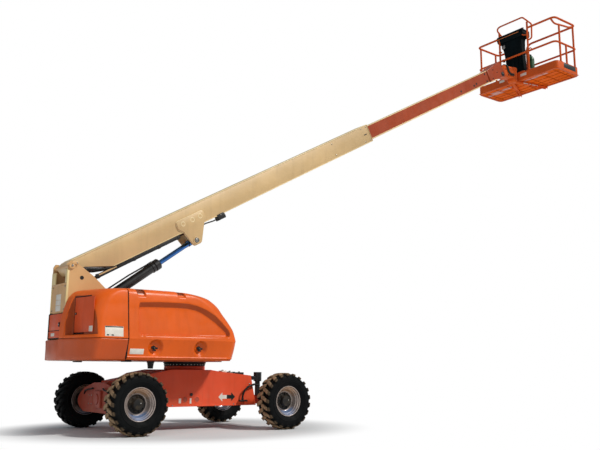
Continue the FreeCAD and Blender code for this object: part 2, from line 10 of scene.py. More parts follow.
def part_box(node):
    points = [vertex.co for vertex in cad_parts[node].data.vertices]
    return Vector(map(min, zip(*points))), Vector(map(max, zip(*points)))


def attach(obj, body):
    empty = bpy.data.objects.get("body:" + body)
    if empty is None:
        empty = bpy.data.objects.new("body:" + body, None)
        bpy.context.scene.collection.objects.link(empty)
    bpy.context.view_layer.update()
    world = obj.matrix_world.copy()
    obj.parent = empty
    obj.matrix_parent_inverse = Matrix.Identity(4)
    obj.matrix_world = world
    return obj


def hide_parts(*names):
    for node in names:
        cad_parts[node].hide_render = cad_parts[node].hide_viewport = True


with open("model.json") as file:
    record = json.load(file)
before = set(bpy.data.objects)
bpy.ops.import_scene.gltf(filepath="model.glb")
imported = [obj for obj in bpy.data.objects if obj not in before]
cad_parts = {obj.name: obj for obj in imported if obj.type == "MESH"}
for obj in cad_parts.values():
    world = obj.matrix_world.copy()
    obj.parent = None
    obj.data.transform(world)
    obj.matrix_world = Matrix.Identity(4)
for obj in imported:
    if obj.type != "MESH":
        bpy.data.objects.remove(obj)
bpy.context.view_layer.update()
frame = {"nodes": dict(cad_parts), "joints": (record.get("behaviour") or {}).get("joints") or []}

bl_info = {
    "name": "Telescopic boom lift",
    "version": (1, 0, 0),
    "blender": (4, 5, 0),
    "location": "3D View > Sidebar > Boom Lift",
    "description": "Covers, wheels, boom trim, work platform and finishes for a straight boom lift",
    "category": "Add Mesh",
}

# ---------------------------------------------------------------- places, from the frame
X, Y, Z = Vector((1, 0, 0)), Vector((0, 1, 0)), Vector((0, 0, 1))
joints = {joint["name"]: joint for joint in frame["joints"]}


def joint_place(name):
    return Vector(joints[name]["pos_m"])


def aligned(x, y, z):
    """The turn that takes the three axes to these directions."""
    return Matrix((x, y, z)).transposed().to_4x4()


def outward(point, out):
    """A place whose Z points out of the machine's left side (out 1) or right side (out -1)."""
    return Matrix.Translation(point) @ Matrix.Rotation(-out * math.pi / 2, 4, "X")


boom_axis = Vector(joints["boom_extend"]["axis"]).normalized()
if boom_axis.x < 0:
    boom_axis = -boom_axis
boom_up = boom_axis.cross(-Y).normalized()
if boom_up.z < 0:
    boom_up = -boom_up
boom_pivot = joint_place("boom_lift")
boom_frame = Matrix.Translation(boom_pivot) @ aligned(boom_axis, Y, boom_up)
lift_heel = joint_place("lift_barrel_pivot")
rod_eye = (2.046, -0.471)       # the lift rod's pin: how far along the boom, and how far up from its pivot
level_pin = joint_place("platform_level")
turner = joint_place("platform_rotate")


def on_boom(along, y, above):
    """A point given in the boom's own frame."""
    return boom_frame @ Vector((along, y, above))


# ---------------------------------------------------------------- shader graphs
class Graph:
    """The node tree of one material, with its main shader."""

    def __init__(self, name):
        self.material = bpy.data.materials.new(name)
        self.material.use_nodes = True
        self.tree = self.material.node_tree
        self.tree.nodes.clear()
        self.output = self.add("ShaderNodeOutputMaterial")
        self.shader = self.add("ShaderNodeBsdfPrincipled")
        self.link(self.shader, "BSDF", self.output, "Surface")
        self.place = self.add("ShaderNodeTexCoord")

    def add(self, kind, **values):
        made = self.tree.nodes.new(kind)
        for key, value in values.items():
            if hasattr(made, key):
                setattr(made, key, value)
            else:
                made.inputs[key.replace("_", " ").title()].default_value = value
        return made

    def link(self, source, out, target, into):
        self.tree.links.new(source.outputs[out], target.inputs[into])

    def set(self, **values):
        for key, value in values.items():
            self.shader.inputs[key.replace("_", " ").title().replace("Ior", "IOR")].default_value = value

    def noise(self, scale, detail=3.0, roughness=0.5, stretch=None, warp=0.0):
        made = self.add("ShaderNodeTexNoise", Scale=scale, Detail=detail, Roughness=roughness, Distortion=warp)
        if stretch is None:
            self.link(self.place, "Object", made, "Vector")
        else:
            mapping = self.add("ShaderNodeMapping")
            mapping.inputs["Scale"].default_value = stretch
            self.link(self.place, "Object", mapping, "Vector")
            self.link(mapping, "Vector", made, "Vector")
        return made

    def ramp(self, source, out, stops, smooth=True):
        """Remap a value through grey stops given as (position, value)."""
        made = self.add("ShaderNodeValToRGB")
        made.color_ramp.interpolation = "EASE" if smooth else "LINEAR"
        marks = made.color_ramp.elements
        while len(marks) < len(stops):
            marks.new(0.5)
        for mark, (position, value) in zip(marks, stops):
            mark.position = position
            mark.color = value if hasattr(value, "__len__") else (value, value, value, 1)
        self.link(source, out, made, "Fac")
        return made

    def mottle(self, first, last, *noise, **stretch):
        """Noise remapped between two stops."""
        return self.ramp(self.noise(*noise, **stretch), "Fac", (first, last))

    def mix(self, factor, first, second):
        """Mix two colours, each a colour or a node, by a node's output or a number."""
        made = self.add("ShaderNodeMix", data_type="RGBA", blend_type="MIX")
        for index, value in ((0, factor), (6, first), (7, second)):
            if isinstance(value, bpy.types.Node):
                found = [o for o in value.outputs if o.enabled and o.name in ("Color", "Result", "Fac", "Value")]
                self.tree.links.new(found[0], made.inputs[index])
            else:
                made.inputs[index].default_value = value
        return made

    def color_of(self, node):
        return [o for o in node.outputs if o.enabled and o.name in ("Color", "Result")][0]

    def paint(self, node, into="Base Color"):
        self.tree.links.new(self.color_of(node), self.shader.inputs[into])

    def multiply(self, first, second):
        made = self.add("ShaderNodeMath", operation="MULTIPLY")
        for index, value in enumerate((first, second)):
            if isinstance(value, bpy.types.Node):
                self.tree.links.new(value.outputs[0], made.inputs[index])
            else:
                made.inputs[index].default_value = value
        return made

    def upward(self, *stops):
        """A mask from how far the surface faces up."""
        split = self.add("ShaderNodeSeparateXYZ")
        self.link(self.place, "Normal", split, "Vector")
        return self.ramp(split, "Z", stops)

    def height(self, low, high):
        """A mask that is 1 at the low height and 0 at the high one, in metres."""
        split = self.add("ShaderNodeSeparateXYZ")
        self.link(self.place, "Object", split, "Vector")
        made = self.add("ShaderNodeMapRange")
        made.inputs["From Min"].default_value = low
        made.inputs["From Max"].default_value = high
        made.inputs["To Min"].default_value = 1
        made.inputs["To Max"].default_value = 0
        self.link(split, "Z", made, "Value")
        return made

    def bump(self, strength, distance, *sources, edge=0.0):
        """Bump from the sources in turn, over edges softened by a small radius."""
        last = None
        if edge:
            last = self.add("ShaderNodeBevel", samples=4)
            last.inputs["Radius"].default_value = edge
        for source in sources:
            made = self.add("ShaderNodeBump")
            made.inputs["Strength"].default_value = strength
            made.inputs["Distance"].default_value = distance
            self.tree.links.new(source.outputs[0], made.inputs["Height"])
            if last is not None:
                self.link(last, "Normal", made, "Normal")
            last = made
        self.link(last, "Normal", self.shader, "Normal")

    def edges(self, radius):
        """A mask of the outer edges, where paint wears thin and where a painted edge highlight goes."""
        soft = self.add("ShaderNodeBevel", samples=4)
        soft.inputs["Radius"].default_value = radius
        flat = self.add("ShaderNodeNewGeometry")
        dot = self.add("ShaderNodeVectorMath", operation="DOT_PRODUCT")
        self.tree.links.new(soft.outputs["Normal"], dot.inputs[0])
        self.tree.links.new(flat.outputs["Normal"], dot.inputs[1])
        return self.ramp(dot, "Value", ((0.78, 1), (0.97, 0)))


def srgb(red, green, blue):
    """A colour written as 0 to 255 steps, as the linear values that a shader takes."""
    def linear(step):
        share = step / 255
        return share / 12.92 if share <= 0.04045 else ((share + 0.055) / 1.055) ** 2.4
    return (linear(red), linear(green), linear(blue), 1)


def scaled(colour, factor):
    return tuple(min(1, part * factor) for part in colour[:3]) + (1,)


dust_colour = srgb(176, 152, 120)


def painted(name, colour, rough=0.32, coat=0.5, dust=0.1, wear=0.25, peel=0.12, edge=0.004, low=0.3, high=1.2,
            shine=0.5, marked=()):
    """Sprayed steel or moulded panel: broad tone changes, runs, dust that settles, and pale edges that are
    partly worn paint and partly a painted edge highlight.

    Each attribute given in the last argument darkens the paint by its factor where it passes a half: painted
    shade, as in the hood's recesses and hinge pockets."""
    g = Graph(name)
    g.set(coat_weight=coat, coat_roughness=0.26, specular_ior_level=shine)
    broad = g.mottle((0.3, 0.0), (0.7, 1.0), 0.9, 4, 0.55)
    base = g.mix(broad, scaled(colour, 0.9), scaled(colour, 1.1))
    streak = g.mottle((0.45, 0.0), (0.8, 0.35), 3.0, 5, 0.6, stretch=(4.0, 4.0, 0.35))
    base = g.mix(streak, base, scaled(colour, 0.72))
    settle = g.multiply(g.upward((0.35, 0.15), (0.95, 1.0)), g.mottle((0.35, 0.2), (0.75, 1.0), 7, 6, 0.7))
    splash = g.multiply(g.height(low, high), g.mottle((0.4, 0.0), (0.7, 1.0), 11, 6, 0.65))
    base = g.mix(g.multiply(settle, dust), base, dust_colour)
    base = g.mix(g.multiply(splash, min(1, dust * 2.2)), base, dust_colour)
    if wear:
        # pale edges, a lighter copy of the paint: partly wear, partly a painted highlight where edges catch the
        # light
        worn_and_lit_edges = g.multiply(g.edges(edge * 1.6), g.mottle((0.42, 0.0), (0.6, 1.0), 38, 4, 0.6))
        base = g.mix(g.multiply(worn_and_lit_edges, wear), base, scaled(colour, 1.9))
    # painted shade: each attribute darkens the paint where shade falls
    for attribute, factor in marked:
        mark = g.add("ShaderNodeAttribute", attribute_name=attribute)
        base = g.mix(g.ramp(mark, "Fac", ((0.44, 0.0), (0.56, 1.0))), base, scaled(colour, factor))
    g.paint(base)
    rough_mask = g.mottle((0.3, rough * 0.8), (0.75, min(1, rough * 1.35)), 5.5, 5, 0.6)
    g.paint(rough_mask, "Roughness")
    g.bump(peel, 0.0006, g.noise(140, 2, 0.5), g.noise(9, 3, 0.5), edge=edge)
    return g.material


def rubber(name, colour, dusty=0.55, rough=0.78, attribute=None, shine=0.3):
    """Black rubber: dry, faintly mottled, with dirt where the attribute says it meets the ground."""
    g = Graph(name)
    g.set(coat_weight=0.0, specular_ior_level=shine)
    tone = g.mottle((0.3, 0.0), (0.75, 1.0), 6, 5, 0.6)
    base = g.mix(tone, scaled(colour, 0.7), scaled(colour, 1.4))
    film = g.multiply(g.upward((0.3, 0.0), (0.9, 1.0)), g.mottle((0.45, 0.0), (0.8, 0.5), 9, 6, 0.7))
    base = g.mix(g.multiply(film, dusty * 0.3), base, srgb(104, 92, 78))
    if attribute:
        worn = g.add("ShaderNodeAttribute", attribute_name=attribute)
        patch = g.add("ShaderNodeMath", operation="MULTIPLY")
        g.link(worn, "Fac", patch, 0)
        g.link(g.mottle((0.25, 0.4), (0.6, 1.0), 21, 6, 0.7), "Color", patch, 1)
        base = g.mix(g.multiply(patch, dusty), base, srgb(186, 156, 122))
    g.paint(base)
    g.paint(g.mottle((0.3, rough * 0.85), (0.8, min(1, rough * 1.15)), 14, 4, 0.6), "Roughness")
    g.bump(0.25, 0.0008, g.noise(90, 4, 0.6), g.noise(420, 2, 0.5))
    return g.material


def metal(name, colour, rough=0.15, brushed=0.0, tint_up=None, tint_down=None, coat=0.0, metallic=1.0):
    """Bare or plated metal. The tints are painted reflections: of the sky where the surface faces up, of the
    ground where it faces down.
    """
    g = Graph(name)
    g.set(metallic=metallic, coat_weight=coat)
    base = g.mix(g.mottle((0.35, 0.0), (0.7, 1.0), 4, 4, 0.6), scaled(colour, 0.88), scaled(colour, 1.1))
    if tint_up:
        base = g.mix(g.upward((0.35, 0.0), (0.8, 0.8)), base, tint_up)
    if tint_down:
        split = g.add("ShaderNodeSeparateXYZ")
        g.link(g.place, "Normal", split, "Vector")
        flip = g.add("ShaderNodeMath", operation="MULTIPLY")
        flip.inputs[1].default_value = -1
        g.link(split, "Z", flip, 0)
        base = g.mix(g.ramp(flip, "Value", ((0.2, 0.0), (0.8, 0.85))), base, tint_down)
    g.paint(base)
    g.paint(g.mottle((0.3, rough * 0.7), (0.75, min(1, rough * 1.6)), 8, 5, 0.6), "Roughness")
    g.bump(0.1 + brushed, 0.0004, g.noise(60, 3, 0.5, stretch=(1, 8, 8) if brushed else None), edge=0.002)
    return g.material


def plastic(name, colour, rough=0.42, grain=0.3, dust=0.08, edge=0.003, shine=0.4):
    """Moulded black or dark plastic with a fine grain and a little dust."""
    g = Graph(name)
    g.set(specular_ior_level=shine)
    base = g.mix(g.mottle((0.3, 0.0), (0.7, 1.0), 3, 4, 0.6), scaled(colour, 0.75), scaled(colour, 1.35))
    settle = g.multiply(g.upward((0.3, 0.0), (0.95, 1.0)), g.mottle((0.35, 0.1), (0.75, 1.0), 12, 5, 0.7))
    g.paint(g.mix(g.multiply(settle, dust), base, dust_colour))
    g.paint(g.mottle((0.3, rough * 0.8), (0.75, min(1, rough * 1.3)), 10, 4, 0.5), "Roughness")
    g.bump(grain, 0.0004, g.noise(260, 2, 0.6), g.noise(12, 3, 0.5), edge=edge)
    return g.material


def label_film(name, colour, fade=0.12):
    """A blank plate or film: satin, a little faded, with scuffs."""
    g = Graph(name)
    g.set(coat_weight=0.25, coat_roughness=0.2)
    base = g.mix(g.mottle((0.35, 0.0), (0.7, 1.0), 16, 4, 0.6), scaled(colour, 1 - fade), colour)
    scuff = g.mottle((0.58, 0.0), (0.75, 0.4), 45, 5, 0.7)
    g.paint(g.mix(scuff, base, scaled(colour, 0.72)))
    g.paint(g.mottle((0.3, 0.3), (0.8, 0.5), 30, 3, 0.5), "Roughness")
    g.bump(0.08, 0.0003, g.noise(150, 2, 0.5), edge=0.001)
    return g.material


# ---------------------------------------------------------------- mesh parts
finishes = {}


def round_normals(mesh):
    bmesh.ops.remove_doubles(mesh, verts=mesh.verts, dist=0.00002)
    bmesh.ops.recalc_face_normals(mesh, faces=mesh.faces)


class Shape:
    """A mesh under construction. Each part brings its own finish from the list that the piece is given."""

    def __init__(self):
        self.mesh = bmesh.new()

    def take(self, part, place=None, finish=0):
        if place is not None:
            bmesh.ops.transform(part, matrix=place, verts=part.verts)
        round_normals(part)
        for face in part.faces:
            face.material_index = finish
        holder = bpy.data.meshes.new("part")
        part.to_mesh(holder)
        part.free()
        self.mesh.from_mesh(holder)
        bpy.data.meshes.remove(holder)
        return self

    def block(self, low, high, edge=0.004, place=None, finish=0, segments=2):
        low, high = Vector(low), Vector(high)
        part = bmesh.new()
        size = high - low
        bmesh.ops.create_cube(part, size=1,
                              matrix=Matrix.Translation((low + high) / 2) @ Matrix.Diagonal((*size, 1)))
        bevel(part, part.edges, min(edge, min(abs(s) for s in size) * 0.45), segments)
        return self.take(part, place, finish)

    def beside(self, out, low, high, edge=0.004, finish=0, place=None):
        """A block on one side of the machine, with its y measured outwards from the middle."""
        near, far = sorted((out * low[1], out * high[1]))
        return self.block((low[0], near, low[2]), (high[0], far, high[2]), edge, place, finish)

    def bar(self, start, end, radius, finish=0, edge=0.002, sides=28, far_radius=None, place=None):
        start, end = Vector(start), Vector(end)
        part = bmesh.new()
        bmesh.ops.create_cone(part, cap_ends=True, segments=sides, radius1=radius,
                              radius2=radius if far_radius is None else far_radius, depth=(end - start).length)
        if edge:
            joined = [e for e in part.edges if len(e.link_faces) == 2]
            rims = [e for e in joined if any(len(f.verts) > 4 for f in e.link_faces)]
            bevel(part, rims, min(edge, radius * 0.4, (end - start).length * 0.4), 2)
        turn = (end - start).to_track_quat("Z", "Y").to_matrix().to_4x4()
        where = Matrix.Translation((start + end) / 2) @ turn
        return self.take(part, where if place is None else place @ where, finish)

    def bolt(self, where, direction, size, finish=0, length=None):
        """A hexagon head on a washer, standing on a surface."""
        direction = Vector(direction).normalized()
        length = length or size * 0.7
        where = Vector(where)
        self.bar(where - direction * 0.004, where + direction * size * 0.18, size * 1.15, finish, 0.001, 20)
        return self.bar(where, where + direction * length, size, finish, 0.0015, 6)

    def turned(self, outline, place, steps=64, finish=0, closed=False):
        """A ring or knob from an outline of (radius, height) pairs spun about the place's Z."""
        part = bmesh.new()
        verts = [part.verts.new((radius, 0, height)) for radius, height in outline]
        pairs = list(zip(verts, verts[1:])) + ([(verts[-1], verts[0])] if closed else [])
        edges = [part.edges.new(pair) for pair in pairs]
        bmesh.ops.spin(part, geom=verts + edges, cent=(0, 0, 0), axis=(0, 0, 1), angle=math.tau, steps=steps,
                       use_merge=True, use_duplicate=False)
        return self.take(part, place, finish)

    def tube(self, path, radius, finish=0, sides=12, closed=False):
        """A round tube along a path of points, with closed ends."""
        path = [Vector(p) for p in path]
        path = [p for i, p in enumerate(path) if i == 0 or (p - path[i - 1]).length > 1e-5]
        part = bmesh.new()
        frames = path_frames(path, closed)
        ring = bmesh.ops.create_circle(part, cap_ends=False, segments=sides, radius=radius)["verts"]
        ring_edges = list(part.edges)
        bmesh.ops.transform(part, matrix=frames[0], verts=ring)
        first_edges = ring_edges
        if not closed:
            bmesh.ops.contextual_create(part, geom=ring_edges)
        last = frames[0]
        for frame_at in frames[1:]:
            grown = bmesh.ops.extrude_edge_only(part, edges=ring_edges)["geom"]
            ring = [v for v in grown if isinstance(v, bmesh.types.BMVert)]
            ring_edges = [e for e in grown if isinstance(e, bmesh.types.BMEdge)]
            bmesh.ops.transform(part, matrix=frame_at @ last.inverted(), verts=ring)
            last = frame_at
        if closed:
            bmesh.ops.bridge_loops(part, edges=ring_edges + first_edges)
        else:
            bmesh.ops.contextual_create(part, geom=ring_edges)
        return self.take(part, None, finish)

    def hose(self, corners, bend, radius, finish=0, sides=12, steps=6):
        """A tube that turns its corners with a bend radius."""
        return self.tube(bent(corners, bend, steps), radius, finish, sides)

    def plate(self, outline, thickness, place, edge=0.002, finish=0, segments=2):
        """A flat plate: its outline in the place's X and Y, and its thickness up the place's Z."""
        part = bmesh.new()
        face = part.faces.new([part.verts.new((x, y, 0)) for x, y in outline])
        grown = bmesh.ops.extrude_face_region(part, geom=[face])["geom"]
        bmesh.ops.translate(part, vec=(0, 0, thickness),
                            verts=[v for v in grown if isinstance(v, bmesh.types.BMVert)])
        if edge:
            rims = [e for e in part.edges if any(len(f.verts) == len(outline) for f in e.link_faces)]
            bevel(part, rims or part.edges, min(edge, abs(thickness) * 0.45), segments)
        return self.take(part, place, finish)

    def stack(self, loops, finish=0, capped=True, place=None):
        """Closed loops of points, one above the other, joined into a solid."""
        part = bmesh.new()
        count = len(loops[0])
        ring = bmesh.ops.create_circle(part, cap_ends=False, segments=count, radius=1)["verts"]
        edges = list(part.edges)
        for vert, point in zip(ring, loops[0]):
            vert.co = point
        if capped:
            bmesh.ops.contextual_create(part, geom=edges)
        for loop in loops[1:]:
            grown = bmesh.ops.extrude_edge_only(part, edges=edges)
            follow = {}
            fresh = [v for v in grown["geom"] if isinstance(v, bmesh.types.BMVert)]
            edges = [e for e in grown["geom"] if isinstance(e, bmesh.types.BMEdge)]
            for vert in fresh:
                old = [e.other_vert(vert) for e in vert.link_edges if e not in edges][0]
                follow[old] = vert
            ring = [follow[v] for v in ring]
            for vert, point in zip(ring, loop):
                vert.co = point
        if capped:
            bmesh.ops.contextual_create(part, geom=edges)
        return self.take(part, place, finish)

    def finish(self, name, body, materials, slot, replaces=(), sharp=38, wall=0.0):
        """Turn the mesh into a piece that rides on a body."""
        data = bpy.data.meshes.new(name)
        self.mesh.to_mesh(data)
        self.mesh.free()
        data.polygons.foreach_set("use_smooth", [True] * len(data.polygons))
        data.set_sharp_from_angle(angle=math.radians(sharp))
        piece = bpy.data.objects.new(name, data)
        bpy.context.scene.collection.objects.link(piece)
        for key in ([materials] if isinstance(materials, str) else materials):
            data.materials.append(finishes[key])
        if wall:
            thick = piece.modifiers.new("wall", "SOLIDIFY")
            thick.thickness = wall
            thick.offset = -1
        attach(piece, body)
        if replaces:
            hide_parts(*replaces)
        return piece


def bevel(mesh, edges, offset, segments=2):
    bmesh.ops.bevel(mesh, geom=list(edges), offset=offset, offset_type="OFFSET", affect="EDGES",
                    segments=segments, profile=0.5, material=-1, clamp_overlap=True)


def path_frames(path, closed=False):
    """A place at each point of a path, with Z along it, turned as little as possible from one to the next."""
    count = len(path)
    frames, side = [], None
    for i, point in enumerate(path):
        before = path[i - 1] if i or closed else point
        after = path[(i + 1) % count] if i < count - 1 or closed else point
        inward = (point - before).normalized() if point != before else None
        outward = (after - point).normalized() if after != point else None
        ahead = (inward or outward) + (outward or inward)
        ahead.normalize()
        if side is None:
            side = ahead.orthogonal()
        side = (side - ahead * side.dot(ahead)).normalized()
        frames.append(Matrix.Translation(point) @ aligned(side, ahead.cross(side), ahead))
    return frames


def bent(corners, radius, steps=6, closed=False):
    """A path whose corners are rounded to a bend radius."""
    corners = [Vector(c) for c in corners]
    count = len(corners)
    path = []
    for i, corner in enumerate(corners):
        if not closed and i in (0, count - 1):
            path.append(corner)
            continue
        back, ahead = corners[i - 1] - corner, corners[(i + 1) % count] - corner
        angle = back.angle(ahead)
        reach = min(radius / math.tan(angle / 2), back.length * 0.49, ahead.length * 0.49)
        start, end = corner + back.normalized() * reach, corner + ahead.normalized() * reach
        for k in range(steps + 1):
            t = k / steps
            path.append(start * (1 - t) ** 2 + corner * 2 * t * (1 - t) + end * t * t)
    return path


def smooth(t):
    t = min(1.0, max(0.0, t))
    return t * t * (3 - 2 * t)


def rise_between(value, low, high):
    return smooth((value - low) / (high - low))


def window(value, low, high, soft):
    """1 between low and high, falling to 0 over the soft width inside each end."""
    return rise_between(value, low, low + soft) * (1 - rise_between(value, high - soft, high))


def outline_distance(x, y, outline):
    """Distance from a point to a closed outline, positive inside it."""
    best, inside = 1e9, False
    for (ax, ay), (bx, by) in zip(outline, outline[1:] + outline[:1]):
        dx, dy = bx - ax, by - ay
        t = min(1, max(0, ((x - ax) * dx + (y - ay) * dy) / (dx * dx + dy * dy + 1e-12)))
        best = min(best, (x - ax - t * dx) ** 2 + (y - ay - t * dy) ** 2)
        if (ay > y) != (by > y) and x < ax + (y - ay) * dx / dy:
            inside = not inside
    return math.sqrt(best) if inside else -math.sqrt(best)


def along_levels(levels, count):
    """Smooth rows through a table of levels, spaced by how far each level lies from the last."""
    gaps = [math.dist(a[:3], b[:3]) for a, b in zip(levels, levels[1:])]
    share = [max(2, round(count * gap / sum(gaps))) for gap in gaps]
    rows = []
    for i, steps in enumerate(share):
        before, here = levels[max(i - 1, 0)], levels[i]
        there, after = levels[i + 1], levels[min(i + 2, len(levels) - 1)]
        tight = gaps[i] / max(gaps[max(i - 1, 0)], gaps[i], 1e-6)
        loose = gaps[i] / max(gaps[min(i + 1, len(gaps) - 1)], gaps[i], 1e-6)
        for k in range(steps):
            t = k / steps
            h00, h10 = 2 * t ** 3 - 3 * t * t + 1, t ** 3 - 2 * t * t + t
            h01, h11 = -2 * t ** 3 + 3 * t * t, t ** 3 - t * t
            rows.append([h00 * h + h10 * 0.5 * (n - b) * tight + h01 * n + h11 * 0.5 * (a - h) * loose
                         for b, h, n, a in zip(before, here, there, after)])
    rows.append(list(levels[-1]))
    return rows


def resampled(path, count):
    """The same path in count equal steps."""
    lengths = [0.0]
    for a, b in zip(path, path[1:]):
        lengths.append(lengths[-1] + (b - a).length)
    total, made, i = lengths[-1], [], 0
    for k in range(count + 1):
        want = total * k / count
        while i < len(path) - 2 and lengths[i + 1] < want:
            i += 1
        span = lengths[i + 1] - lengths[i]
        made.append(path[i].lerp(path[i + 1], 0 if span < 1e-9 else min(1, (want - lengths[i]) / span)))
    return made


def shell(rows, dents):
    """A skin over rows of points, pressed in along its own normals by a depth at each place."""
    shape = Shape()
    part = bmesh.new()
    across, up = len(rows[0]) - 1, len(rows) - 1
    bmesh.ops.create_grid(part, x_segments=across, y_segments=up, size=0.5)
    for vert in part.verts:
        vert.co = rows[round((vert.co.y + 0.5) * up)][round((vert.co.x + 0.5) * across)]
    bmesh.ops.remove_doubles(part, verts=part.verts, dist=0.0002)
    bmesh.ops.recalc_face_normals(part, faces=part.faces)
    middle_face = min(part.faces, key=lambda f: f.calc_center_median().z)
    if middle_face.normal.dot(middle_face.calc_center_median() * Vector((1, 1, 0))) < 0:
        bmesh.ops.reverse_faces(part, faces=part.faces)
    part.normal_update()
    moved = [(v, v.normal * dents(v.co)) for v in part.verts]
    for vert, push in moved:
        vert.co -= push
    holder = bpy.data.meshes.new("part")
    part.to_mesh(holder)
    part.free()
    shape.mesh.from_mesh(holder)
    bpy.data.meshes.remove(holder)
    return shape


# ---------------------------------------------------------------- what a user would change
class BoomLiftColours(bpy.types.PropertyGroup):
    """Paint and plastic colours, as a colour picker shows them"""


class BoomLiftSizes(bpy.types.PropertyGroup):
    """Sizes of the parts that dress the frame"""

    tread_lugs: IntProperty(name="Lugs a side", description="Tread lugs in each row of a tyre", default=21,
                            min=8, max=40)
    lug_width: FloatProperty(name="Lug width", description="Width of a tread lug at the crown", default=0.054,
                             unit="LENGTH", min=0.02, max=0.1)
    wheel_nuts: IntProperty(name="Wheel nuts", description="Nuts that hold each wheel", default=9, min=4, max=16)
    hood_wall: FloatProperty(name="Hood wall", description="Thickness of the moulded covers", default=0.006,
                             unit="LENGTH", min=0.003, max=0.012)
    panel_depth: FloatProperty(name="Panel depth", description="Depth of the recessed side panel of a hood",
                               default=0.052, unit="LENGTH", min=0.0, max=0.08)
    dish_depth: FloatProperty(name="Dish depth", description="Depth of the dishes round the hood latches",
                              default=0.042, unit="LENGTH", min=0.0, max=0.06)
    rail_radius: FloatProperty(name="Rail radius", description="Radius of the platform's tube rails",
                               default=0.0245, unit="LENGTH", min=0.01, max=0.03)
    rail_bend: FloatProperty(name="Rail bend", description="Bend radius at the rails' corners", default=0.11,
                             unit="LENGTH", min=0.04, max=0.2)
    mesh_pitch: FloatProperty(name="Floor mesh pitch", description="Spacing of the expanded floor mesh",
                              default=0.04, unit="LENGTH", min=0.02, max=0.1)


paints = {
    "hood_orange": ("Hood orange", (220, 91, 8)),
    "cover_orange": ("Counterweight orange", (190, 76, 16)),
    "door_orange": ("Controls door orange", (212, 84, 42)),
    "chassis_orange": ("Chassis red orange", (220, 78, 42)),
    "axle_orange": ("Axle red orange", (164, 66, 48)),
    "boom_tan": ("Boom tan", (206, 174, 124)),
    "mast_tan": ("Mast tan", (206, 162, 108)),
    "fly_orange": ("Fly boom orange", (164, 64, 24)),
    "cage_orange": ("Platform orange", (214, 92, 36)),
    # the floor's orange is brighter than the cage's: painted light on the grating
    "floor_orange_lit": ("Platform floor orange", (248, 104, 18)),
    "tyre_black": ("Tyre rubber", (7, 9, 10)),
    "rim_grey": ("Rim paint", (160, 146, 138)),
    "part_black": ("Black paint", (13, 14, 15)),
    "console_black": ("Console plastic", (4, 13, 16)),
    "plate_cream": ("Blank plate", (224, 218, 206)),
    "hose_black": ("Hose rubber", (14, 17, 17)),
}
for key, (label, steps) in paints.items():
    BoomLiftColours.__annotations__[key] = FloatVectorProperty(
        name=label, description=label + " colour", subtype="COLOR_GAMMA", size=3, min=0, max=1,
        default=[step / 255 for step in steps])


